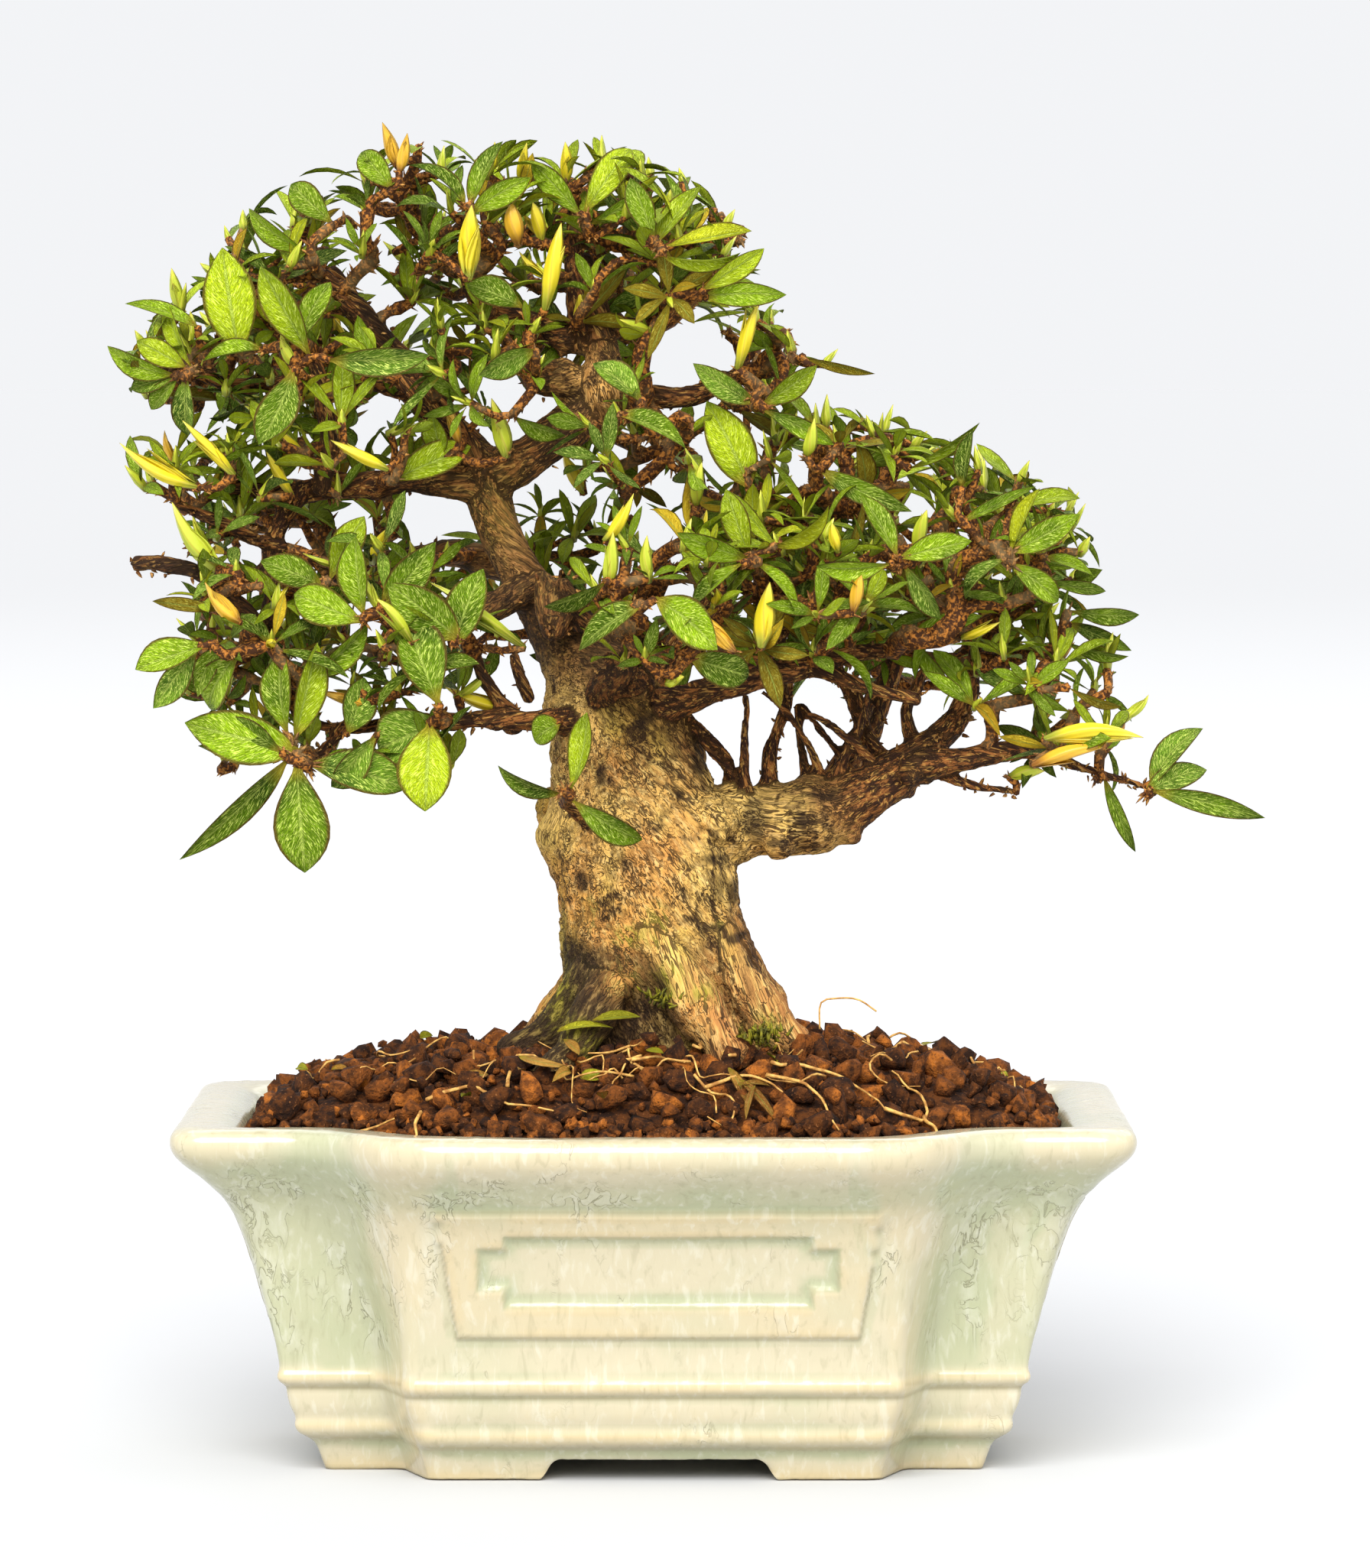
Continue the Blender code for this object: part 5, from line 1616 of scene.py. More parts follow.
    def build(self, bench: Bench) -> None:
        """Puts the bark, which stands for the trunk and every bough.

        The relief along the normals is the sum of long ridges, flakes between cell lines and fine
        roughness, the first two read at the limbs' own places.

        Args:
            bench: Makes the piece.
        """
        points, normals, faces = self.skin(bench)
        radius, drawn = self.nearest(points)
        thick = smooth(radius, 2.0, 12.0)
        near, later = cells(drawn + 0.8 * waves(drawn, 3.0, 8)[:, None], 2.6, 31)
        line = fall(later - near, 0.02, 0.16)
        flake = smooth(later - near, 0.0, 0.35) * (0.5 + 0.5 * waves(drawn, 1.2, 90, 2))
        ridges = waves(drawn * (1, 1, 0.75), 9.0, 77, 3)
        height = thick * self.ridge_depth * 0.55 * ridges + (0.25 + 0.75 * thick) * self.flake_depth * flake
        height += (0.10 + 0.10 * thick) * waves(points, 0.9, 55, 2) - 0.25 * line * thick - 0.15
        stub = smooth(points[:, 2], 68.5, 71.0)
        moved = points + normals * (height * (0.2 + 0.8 * stub))[:, None]
        moved[:, 2] = np.maximum(moved[:, 2], 67.6)
        marks = self.marks(points, radius) | {f"own_{k}": drawn[:, k] * MM for k in range(3)}
        marks["crack"] = np.maximum(line, marks["crack"]) * thick * 0.55
        shape = Shape(moved, faces, None, marks)
        bench.put("bark", shape, Bark().material(), ("trunk", *(b.name for b in BOUGHS)))


class Tone(Enum):
    """The greens of the leaves, as light and dark colours and how hairy they look."""

    DEEP = ((0.165, 0.285, 0.006), (0.036, 0.080, 0.002), 0.58)
    GREEN = ((0.320, 0.500, 0.008), (0.084, 0.164, 0.003), 0.60)
    FRESH = ((0.520, 0.660, 0.012), (0.205, 0.300, 0.004), 0.54)
    LIME = ((0.640, 0.670, 0.016), (0.370, 0.410, 0.006), 0.30)
    BLUE = ((0.225, 0.390, 0.024), (0.052, 0.118, 0.008), 0.78)
    OLIVE = ((0.440, 0.320, 0.016), (0.180, 0.120, 0.006), 0.30)
    GOLD = ((0.840, 0.590, 0.030), (0.520, 0.300, 0.015), 0.15)

    @property
    def skin(self) -> LeafSkin:
        """The finish of leaves in this tone."""
        light, dark, hairy = self.value
        return LeafSkin(self.name.lower(), light, dark, hairiness=hairy)


DEEP, GREEN, FRESH, LIME, BLUE, OLIVE, GOLD = range(7)

# Leaves that the photograph shows clearly, each as the x and z of its foot and its tip, width and tone.
SHOWN_LEAVES = (
    (-60.5, 117.8, -60, 98.8, 9.2, DEEP), (-62, 118, -78.5, 99.8, 5.5, DEEP),
    (-60, 119, -79.5, 123.3, 8, GREEN), (-59, 117, -42, 114.8, 8.6, BLUE),
    (-38, 124, -38.8, 109.3, 10.5, FRESH), (-35, 124.5, -47, 119.5, 11, BLUE),
    (-36.5, 127, -43, 141, 9.5, DEEP), (-47, 122, -55, 113.5, 7, BLUE), (-61, 121, -57, 137, 7, FRESH),
    (-60, 131, -47, 138, 6.5, GREEN), (-62, 122, -66, 135, 7, GREEN), (-70, 136, -79.3, 126.6, 6.5, GREEN),
    (-75, 137.5, -87.5, 133.2, 7, GREEN), (-77, 137, -85, 126.8, 5.4, BLUE), (-73, 143, -85, 144.3, 3, OLIVE),
    (-63, 119, -72, 126, 6, DEEP), (-52, 122, -48, 131, 6.5, BLUE), (-34, 137, -30, 150, 7.5, DEEP),
    (-33, 138, -44, 148, 7.5, GREEN), (-49, 141, -62, 145.5, 7, GREEN), (-49, 142, -52, 155, 7.5, GREEN),
    (-46, 144, -36, 153, 6.5, DEEP), (-56, 147, -66, 152, 6, DEEP), (-55, 148, -50, 159, 6, FRESH),
    (-80.5, 182.8, -93.3, 183.5, 4.6, GREEN), (-80.5, 182.8, -89, 180.1, 4.2, DEEP),
    (-80, 183, -85, 176.8, 4.4, GREEN), (-79, 184, -87, 188.8, 4.6, FRESH),
    (-78, 184, -84, 194.3, 4.4, FRESH), (-79, 183, -80, 171.8, 4.6, BLUE),
    (-77, 190.8, -87.7, 197.3, 3.4, GREEN), (-70, 186, -73.5, 203.5, 8.6, FRESH),
    (-58, 185.8, -66, 200.5, 9.4, FRESH), (-55, 185.3, -38.5, 184.8, 7, BLUE),
    (-61, 183.8, -64, 170.3, 7.2, DEEP), (-66, 187, -76, 186, 6, GREEN), (-60, 188, -57, 199, 6, GREEN),
    (-45, 164.8, -31, 170.8, 7.4, FRESH), (-36, 169, -37.5, 176, 5, FRESH),
    (-12, 209.8, -3.6, 222.4, 5.4, FRESH), (-12, 209, -20, 219, 4.6, GREEN), (-11, 208, 0, 214, 4.4, GREEN),
    (-31, 211, -27, 223, 5, GREEN), (-32, 211, -38, 221, 5, DEEP), (-31, 210, -22, 217, 5, GREEN),
    (0, 204.8, 7.5, 214.8, 5, FRESH), (1, 204, 15.8, 207.5, 5, LIME), (1, 203, 14, 200, 5, FRESH),
    (0, 205, -3, 216, 4.8, GREEN), (8, 196, 21.5, 197.8, 5, GREEN), (8, 197, 18, 204, 4.6, FRESH),
    (-44, 214, -50, 221, 5, GREEN), (-54, 208, -62, 215, 5.5, GREEN), (-58, 203, -70, 209, 5, GREEN),
    (25, 185.8, 36.7, 182.5, 3, OLIVE), (16, 163.8, 10, 178.5, 9, FRESH), (28, 166.8, 42, 157.8, 5.5, DEEP),
    (20, 153.8, 31, 158, 7, LIME), (52, 163.8, 53, 173, 5.4, DEEP), (60, 151.8, 63.5, 164, 6, LIME),
    (18, 177.8, 28, 183, 6, FRESH), (17, 178, 6, 183, 6, BLUE), (18, 177, 30, 172, 6.5, GREEN),
    (41, 151.8, 53, 155, 6.5, GREEN), (41, 152, 36, 163, 6, GREEN), (40, 151, 28, 148, 6.5, GREEN),
    (42, 151, 49, 142, 6, BLUE), (16, 151.8, 4, 155, 6.5, GREEN), (16, 152, 12, 163, 6, FRESH),
    (17, 151, 27, 144, 6.5, GREEN), (15, 151, 5, 144, 6, GREEN), (60, 152.8, 72, 158, 6, GREEN),
    (60, 152, 50, 147, 6, BLUE), (60, 151, 70, 145, 6.4, GREEN), (43, 138.8, 55, 141, 6, GREEN),
    (43, 138, 33, 134, 6.5, BLUE), (43, 139, 50, 131, 6, GREEN), (43, 167, 55, 173.8, 4.4, FRESH),
    (52, 158, 64, 163.8, 4.6, GREEN), (60, 160, 72.3, 164.5, 4.8, FRESH), (66, 152, 74.5, 150.3, 4, GREEN),
    (66, 148, 76.4, 145.3, 4, DEEP), (70, 143, 81.7, 140.8, 4.4, GREEN), (70, 141, 80.5, 136.5, 4, DEEP),
    (69, 138, 79.3, 133, 4, GREEN), (70, 130, 78.4, 125.6, 3.2, OLIVE), (84, 113, 89, 125.5, 6.4, BLUE),
    (84, 112.5, 103, 108.8, 5.0, DEEP), (83, 112, 93, 118.5, 5.6, BLUE), (76, 115, 81, 101.3, 4, DEEP),
    (-14.5, 112, -8.6, 124.6, 6, FRESH), (-15.5, 112, -27.5, 113.4, 4.6, DEEP),
    (-14, 111, -2.6, 102.4, 5.6, GREEN), (-16, 124, -21, 121.6, 6, GREEN), (-2, 178, -9, 186, 6, BLUE),
    (-6, 176, 6, 173, 6, GREEN), (-20, 187, -30, 184, 6, BLUE), (-22, 194, -31, 199, 6, GREEN),
    (-8, 148, -18, 142, 6, DEEP), (0, 145, 12, 139, 7, GREEN), (-2, 144, -14, 138.5, 6.4, DEEP),
    (-24, 176, -16, 171, 5.6, GREEN), (6, 135, 18, 131, 6, DEEP),
)

# Buds that the photograph shows, each as the x and z of its tip and its foot, its width and its kind:
# 0 lemon, 1 green, 2 amber.
SHOWN_BUDS = (
    (-90.3, 171.3, -77, 163.8, 3.4, 0), (-79.7, 175.1, -71, 165.8, 3.4, 0),
    (-54.7, 171.8, -45, 166.8, 3.4, 0), (-81.5, 161.3, -73, 149.3, 5, 1), (-76, 147.8, -70, 140.8, 3.6, 2),
    (-65.5, 169.8, -61, 161.8, 3, 0), (-45.8, 225.2, -43.5, 217.8, 3.0, 2),
    (-41.6, 223.4, -43, 216.8, 2.6, 2), (-30.8, 211.3, -31.5, 198.8, 4.8, 0),
    (-15.7, 208.3, -18.5, 193.8, 4.8, 0), (-21.5, 221.8, -22.5, 214.8, 2.4, 0),
    (-24, 211.8, -23, 204.8, 4, 2), (-20.5, 211.8, -19, 204.8, 3, 0), (17.5, 194.8, 14, 183.8, 3.8, 0),
    (-27.5, 178.8, -25, 168.8, 4, 1), (-15.5, 170.8, -12, 162.8, 3.2, 0), (-3.5, 162.8, -8.5, 154.8, 3.2, 0),
    (-7, 156.3, -8, 146.8, 3.2, 1), (-12, 139.8, -10.5, 127.8, 4.2, 0), (6, 143.3, 13.5, 136.1, 3.8, 2),
    (19.5, 147.8, 18, 136.8, 4.4, 0), (30, 157.8, 31, 152.8, 2.6, 0), (58.5, 141.1, 51.5, 138.3, 2.6, 0),
    (82.7, 121.5, 66, 121.3, 3.2, 0), (76, 119.8, 64, 116.8, 4, 2), (-35.5, 130.1, -24, 125.8, 3.6, 0),
    (-38, 147.8, -22, 136.8, 3, 1), (-57, 129.5, -48, 126.8, 2.8, 2), (5, 131.8, 1.5, 130.6, 3, 1),
    (66, 115.8, 60, 114.8, 3, 1), (-50, 150, -45.5, 142, 3, 1), (-47, 145, -41, 137.5, 3, 1),
    (46, 160, 44, 153, 3, 1), (35, 149, 33.5, 142.5, 2.8, 2), (-63, 190, -60.5, 184, 2.6, 1),
    (27, 175.5, 25.5, 169, 2.8, 1), (8, 168, 7, 160.5, 2.8, 1), (-35, 178, -33, 171, 2.6, 2),
)


@dataclass
class LeafRows:
    """Many leaves as arrays: where each starts, its directions, its size and its bend."""

    foot: Array
    way: Array
    up: Array
    length: Array
    width: Array
    curl: Array
    fold: Array
    sway: Array
    full: Array
    tone: Array

    STEPS = np.array([0.0, 0.09, 0.22, 0.38, 0.55, 0.72, 0.87, 1.0])
    FINE_STEPS = np.array([0.0, 0.05, 0.12, 0.20, 0.29, 0.38, 0.48, 0.58, 0.68, 0.78, 0.87, 0.94, 1.0])
    ACROSS = np.array([-1.0, -0.55, 0.0, 0.55, 1.0])

    def surface(self, steps: Array = STEPS) -> Array:
        """The leaves' sheets: a centre line bent by an angle that grows with s^1.4, and swayed.

        The half width is w s^a (1 - s), scaled so that its largest value is 1, and the two halves
        are folded up by one angle and roll back a little at their edges.

        Args:
            steps: The shares s of a leaf's length at which its rows lie.

        Returns:
            Points as leaves by steps by columns by x, y and z.
        """
        s, t = steps, self.ACROSS
        side = unit(np.cross(self.way, self.up))
        up = np.cross(side, self.way)
        angle = self.curl[:, None] * s**1.4
        ahead = self.way[:, None] * np.cos(angle)[..., None] - up[:, None] * np.sin(angle)[..., None]
        above = up[:, None] * np.cos(angle)[..., None] + self.way[:, None] * np.sin(angle)[..., None]
        ahead = unit(ahead + side[:, None] * (self.sway[:, None] * s)[..., None])
        step = np.diff(s, prepend=0.0)
        line = self.foot[:, None] + np.cumsum(ahead * (step[None] * self.length[:, None])[..., None], axis=1)
        a = self.full[:, None]
        shape = s[None] ** a * (1 - s[None])
        shape = shape / ((a / (a + 1.0)) ** a * (1.0 / (a + 1.0)))
        shape = np.maximum(shape, np.where(s < 0.5, 0.12, 0.012))
        half = 0.5 * self.width[:, None] * shape
        rise = np.sin(self.fold)[:, None, None] * (np.abs(t) - 0.30 * t**4)
        out = np.cos(self.fold)[:, None, None] * t
        return (
            line[:, :, None]
            + side[:, None, None] * (half[..., None] * out)[..., None]
            + above[:, :, None] * (half[..., None] * rise)[..., None]
        )

    def shape(self, keep: Array, steps: Array = STEPS) -> Shape:
        """Some of the leaves as open sheets, with uv across and along them and a shade for each.

        Args:
            keep: Which leaves are wanted.
            steps: The shares of a leaf's length at which its rows lie.

        Returns:
            Those leaves as one shape.
        """
        surface = self.surface(steps)[keep]
        many, rows, columns = surface.shape[:3]
        faces = grid_faces(rows, columns)[None] + (np.arange(many) * rows * columns)[:, None, None]
        u, v = np.meshgrid(0.5 + 0.5 * self.ACROSS, steps)
        uv = np.tile(np.stack([u.ravel(), v.ravel()], axis=1), (many, 1))
        shade = np.repeat(hashed(np.floor(self.foot[keep] * 5.0 + self.way[keep] * 40.0), 91), rows * columns)
        return Shape(surface.reshape(-1, 3), faces.reshape(-1, 4), uv, {"shade": shade})


@dataclass
class Masses:
    """The CAD's masses as search trees, to tell what lies inside them."""

    names: tuple[str, ...]
    trees: list[BVHTree]
    lows: Array
    highs: Array

    @staticmethod
    def of(bench: Bench) -> "Masses":
        """Reads every mass of the frame.

        Args:
            bench: Holds the frame.

        Returns:
            The masses in the order of their names.
        """
        names = tuple(sorted(n for n in bench.nodes if n.startswith("mass_")))
        trees, lows, highs = [], [], []
        for name in names:
            points = bench.local(name)
            mesh = bench.nodes[name].data
            mesh.calc_loop_triangles()
            flat = np.empty(len(mesh.loop_triangles) * 3, np.int32)
            mesh.loop_triangles.foreach_get("vertices", flat)
            trees.append(BVHTree.FromPolygons(points.tolist(), flat.reshape(-1, 3).tolist()))
            lows.append(points.min(0))
            highs.append(points.max(0))
        return Masses(names, trees, np.array(lows), np.array(highs))

    def depth(self, point: Array, within: float) -> float:
        """How deep a point lies in the masses.

        Args:
            point: The place.
            within: How far away a mass may lie to be looked at.

        Returns:
            How far it lies under the skin of the mass that holds it, or below 0 how far from all of them.
        """
        near = ((point > self.lows - within) & (point < self.highs + within)).all(axis=1)
        best, at = -within, Vector(point)
        for i in np.flatnonzero(near):
            place, normal, _, away = self.trees[i].find_nearest(at)
            best = max(best, away if (at - place).dot(normal) < 0.0 else -away)
        return best

    def fronts(self, sight: Sight, places: Array) -> Array:
        """Where sight lines first meet a mass, or the place of a mass that is nearest to them.

        Args:
            sight: The photograph's camera.
            places: The x and z at which each sight line crosses the plane y = 0.

        Returns:
            The depth of each of those places.
        """
        eye = Vector((sight.x, sight.y, sight.z))
        depths = []
        for x, z in places:
            way = (Vector((x, 0.0, z)) - eye).normalized()
            hits = [tree.ray_cast(eye, way)[0] for tree in self.trees]
            found = [hit.y for hit in hits if hit is not None]
            if not found:
                near = [tree.find_nearest(Vector((x, -8.0, z))) for tree in self.trees]
                found = [min(near, key=lambda one: one[3])[0].y]
            depths.append(min(found))
        return np.array(depths)


@dataclass(frozen=True)
class Box:
    """The box that the frame fills, drawn in a little."""

    low: Array
    high: Array

    @staticmethod
    def of(bench: Bench) -> "Box":
        """Reads the frame's box, in millimetres round the pot's middle."""
        low, high = ((np.array(corner) - bench.middle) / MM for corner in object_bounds())
        return Box(low + 0.2, high - 0.2)

    def holds(self, points: Array, margin: float = 0.0) -> Array:
        """Whether each point lies more than a margin inside."""
        return ((points > self.low + margin) & (points < self.high - margin)).all(axis=-1)


@dataclass
class Crown:
    """Twigs, leaves and buds that grow on from the boughs and fill the places of the masses."""

    sight: Sight
    spacing: float = 7.2
    bare_spacing: float = 5.7
    thin: float = 0.72
    shallow: float = 2.2
    deep: float = 9.5
    step: float = 3.0
    stray: float = 4.6
    seed: int = 5
    tries: int = 1100
    bare_tries: int = 260
    flecks: int = 44
    twig_scales: int = 6500
    bough_scales: int = 1500
    seeded_buds: int = 60
    by_light: tuple[int, ...] = (
        DEEP, BLUE, DEEP, GREEN, BLUE, GREEN, OLIVE, GREEN, FRESH, BLUE, GREEN, FRESH, GREEN, FRESH, LIME,
        FRESH,
    )
    gaps: Rows = (
        (8, 184, 5, 6), (-45.5, 192, 2.2, 4), (-53, 124.5, 3, 2.6), (-38, 160, 4.4, 4), (4, 145.5, 3.4, 2.6),
        (11, 126.5, 3.6, 3), (26, 120.5, 5.5, 4), (-24, 133, 3.6, 3), (40, 122, 3, 3.4), (-67, 153, 2.2, 2.6),
        (-49, 173, 2, 2.4), (38, 181, 5, 5), (60, 126, 2.4, 2), (-31, 146, 2.2, 2), (-58, 101, 44, 15),
        (-26, 118, 7, 9), (92, 113, 14, 14), (-15, 111, 14, 14), (-84, 159, 3, 2.2), (-86, 139, 3, 2.4),
        (-90, 176, 4, 2.6), (46, 178, 6, 5),
    )
    outline: Rows = (
        (100, -79, 103), (108, -78, 103), (112, -76, 100), (116, -74, 94), (120, -78, 91), (124, -80, 86),
        (128, -85.5, 78), (136, -87, 80), (144, -86, 81), (152, -88, 75), (160, -91, 72), (164, -91, 71),
        (168, -90, 60), (172, -90, 55), (176, -86, 42), (180, -89, 30), (184, -91, 32), (188, -87.5, 26),
        (192, -86, 22), (200, -79, 21), (204, -76.5, 17), (208, -71.5, 15), (212, -68, 9), (216, -63, 7.5),
        (220, -51, -2), (223, -36, -8),
    )
    windows: Rows = (
        (-11, 183, 5, 4), (-17, 145, 3, 4), (-25, 158, 3.4, 4.4), (-3, 116, 14, 12), (33, 108, 14, 8),
        (25, 119, 18, 4), (-20, 127, 9, 2.6), (50, 120, 8, 4),
    )

    def in_gap(self, points: Array, margin: float) -> Array:
        """Whether the camera would see each point past the outline, in a gap of sky or before bare wood.

        Args:
            points: The places.
            margin: How far round each gap counts as a part of it.

        Returns:
            One truth value for each point.
        """
        flat = self.sight.seen(points)
        z, left, right = np.array(self.outline).T
        hit = flat[:, 0] < np.interp(flat[:, 1], z, left) + margin
        hit |= flat[:, 0] > np.interp(flat[:, 1], z, right) - margin
        hit |= flat[:, 1] > z[-1] - 0.5 * margin
        rng = np.random.default_rng(self.seed + 12)
        places = rng.uniform((-84, 122), (68, 214), (self.flecks, 2))
        flecks = np.column_stack([places, rng.uniform(1.5, 3.0, (self.flecks, 2))])
        for zones, limit in ((self.gaps, np.inf), (flecks, np.inf), (self.windows, 2.0)):
            for x, z, wide, high in zones:
                inside = ((flat[:, 0] - x) / (wide + margin)) ** 2 + ((flat[:, 1] - z) / (high + margin)) ** 2
                hit |= (points[:, 1] < limit) & (inside < 1.0)
        return hit

    def shown(self, masses: Masses) -> tuple[LeafRows, Array]:
        """The listed leaves, each laid across the sight line where it first meets a mass.

        Args:
            masses: The masses that the sight lines meet.

        Returns:
            The leaves, and the places of the listed buds as rows of foot, tip and width.
        """
        rng = np.random.default_rng(self.seed + 9)
        rows = np.array(SHOWN_LEAVES, float)
        deep = masses.fronts(self.sight, rows[:, :2]) + 2.0
        deep = np.minimum(deep, masses.fronts(self.sight, (rows[:, :2] + rows[:, 2:4]) / 2) + 1.0)
        foot = self.sight.through(rows[:, 0], rows[:, 1], deep)
        tip = self.sight.through(rows[:, 2], rows[:, 3], deep - rng.uniform(-1.5, 3.5, len(rows)))
        way = tip - foot
        length = size_of(way) * 1.03
        side = np.cross(unit(way), [0, 1, 0])
        turned = rng.normal(0, 1, (len(rows), 1)) * np.where(rows[:, 4:5] > 7.4, 0.30, 0.75)
        up = np.array([0, -1.0, 0]) + side * turned + np.array([0, 0, 0.15])
        curl = rng.normal(0.32, 0.34, len(rows))
        fold = np.radians(rng.normal(34, 11, len(rows)))
        sway, full = rng.normal(0, 0.18, len(rows)), rng.uniform(0.85, 1.50, len(rows))
        wide = rows[:, 4] * np.where(rows[:, 0] > 8.0, 0.92, 1.12)
        leaves = LeafRows(foot, unit(way), up, length, wide, curl, fold, sway, full, rows[:, 5].astype(int))
        buds = np.array(SHOWN_BUDS, float)
        deep = masses.fronts(self.sight, (buds[:, :2] + buds[:, 2:4]) / 2) - 0.5
        foot = self.sight.through(buds[:, 2], buds[:, 3], deep + 1.5)
        tip = self.sight.through(buds[:, 0], buds[:, 1], deep - 1.0)
        return leaves, np.column_stack([foot, tip, buds[:, 4:]])

    def tips(self, masses: Masses, taken: Array) -> tuple[Array, Array, Array]:
        """Where twigs end: places just inside the masses' skins, no two closer than the spacing.

        Args:
            masses: The masses that the twigs fill.
            taken: Places of listed leaves' feet and of buds, which keep a little room.

        Returns:
            The places, the direction in which each one faces, and how far it lies from the skin.
        """
        rng = np.random.default_rng(self.seed)
        found: list[tuple[Array, Array, float]] = []
        for tree, low, high in zip(masses.trees, masses.lows, masses.highs):
            for spot in rng.uniform(low, high, (self.tries, 3)):
                place, normal, _, away = tree.find_nearest(Vector(spot))
                inside = (Vector(spot) - place).dot(normal) < 0.0
                if inside and self.shallow < away < self.deep:
                    found.append((spot, np.array(normal), away))
        places = np.array([f[0] for f in found])
        blocked = self.in_gap(places, 2.0)
        room = np.full((len(found), 3), 1e6)
        used = 0
        kept: list[int] = []
        for i in rng.permutation(len(found)):
            if blocked[i] or np.min(size_of(taken - places[i])) < 4.0:
                continue
            if used and np.min(size_of(room[:used] - places[i])) < self.spacing:
                continue
            ahead = places[i] + found[i][1] * (found[i][2] + 6.0)
            if masses.depth(ahead, 2.0) > 0.0 and rng.uniform() < 0.40:
                continue
            if found[i][2] > 5.0 and rng.uniform() < 0.35:
                continue
            room[used] = places[i]
            used += 1
            kept.append(int(i))
        return places[kept], np.array([found[i][1] for i in kept]), np.array([found[i][2] for i in kept])

    def bare_ends(self, masses: Masses, taken: Array) -> Array:
        """Ends of twigs without leaves, spread through the whole of every mass.

        Args:
            masses: The masses that the twigs fill.
            taken: Places of leafy twigs' ends, which keep their distance.

        Returns:
            The ends' places.
        """
        rng = np.random.default_rng(self.seed + 6)
        corners = zip(masses.lows, masses.highs)
        spots = np.concatenate([rng.uniform(low, high, (self.bare_tries, 3)) for low, high in corners])
        spots = spots[~self.in_gap(spots, 1.0)]
        room = np.full((len(spots) + len(taken), 3), 1e6)
        room[: len(taken)] = taken
        used = len(taken)
        for spot in rng.permutation(spots):
            if np.min(size_of(room[:used] - spot)) < self.bare_spacing:
                continue
            if masses.depth(spot, 2.0) > 2.5:
                room[used] = spot
                used += 1
        return room[len(taken) : used]

    def grow(self, tips: Array) -> tuple[Array, Array, list[Array]]:
        """Joins each tip, nearest first, to the nearest wood by a bent twig with points a step apart.

        Args:
            tips: Where twigs end.

        Returns:
            All points of the wood, their radii, and each twig's list of point numbers.
        """
        rng = np.random.default_rng(self.seed + 1)
        lines = [limb.line(self.step) for limb in (*BOUGHS, *SHOOTS)]
        lines.append(TRUNK.line(self.step)[14:])
        start = np.concatenate(lines)
        used = len(start)
        points = np.zeros((used + len(tips) * 14, 3))
        points[:used] = start[:, :3]
        parents, cost = np.full(len(points), -1), np.zeros(len(points))
        distance = np.min(size_of(tips[:, None] - start[None, :, :3]), axis=1)
        twigs: list[Array] = []
        for tip in tips[np.argsort(distance)]:
            known = points[:used]
            away = size_of(known - tip)
            root = int(np.argmin(away + 0.12 * cost[:used] + 0.35 * np.maximum(known[:, 2] - tip[2], 0)))
            count = min(13, max(2, int(round(away[root] / self.step))))
            t = np.linspace(0, 1, count + 1)[1:, None]
            middle = (points[root] + tip) / 2
            if parents[root] >= 0:
                middle = points[root] + unit(points[root] - points[parents[root]]) * away[root] * 0.35
            middle = middle + rng.normal(0, 0.10 * away[root], 3)
            path = points[root] * (1 - t) ** 2 + middle * 2 * t * (1 - t) + tip * t * t
            path[:-1] += rng.normal(0, 0.40, (count - 1, 3))
            chain = np.r_[root, np.arange(used, used + count)]
            points[chain[1:]] = path
            parents[chain[1:]] = chain[:-1]
            cost[chain[1:]] = cost[root] + self.step * np.arange(1, count + 1)
            used += count
            twigs.append(chain)
        area = np.zeros(used)
        area[[twig[-1] for twig in twigs]] = self.thin**2.5
        for i in range(used - 1, len(start) - 1, -1):
            if parents[i] >= len(start):
                area[parents[i]] += area[i]
        return points[:used], np.minimum(area ** (1 / 2.5), 2.0), twigs

    def twig_shape(self, points: Array, radius: Array, twigs: list[Array]) -> Shape:
        """Every twig as a tube through its points, resampled to eight rings and a little knobbly.

        Args:
            points: All points of the wood.
            radius: Their radii.
            twigs: Each twig's list of point numbers.

        Returns:
            The twigs as one shape.
        """
        rings, paths, radii = 8, [], []
        for twig in twigs:
            thick = np.r_[radius[twig[1]], radius[twig[1:]]]
            at, i = np.linspace(0, len(twig) - 1, rings), np.arange(len(twig))
            paths.append(np.stack([np.interp(at, i, points[twig][:, k]) for k in range(3)], axis=1))
            radii.append(np.interp(at, i, thick))
        path, wide = np.array(paths), np.array(radii)
        wide = wide * (1.0 + 0.25 * waves(path, 1.6, 71))
        return tubes(path, np.maximum(wide, 0.46), 6)

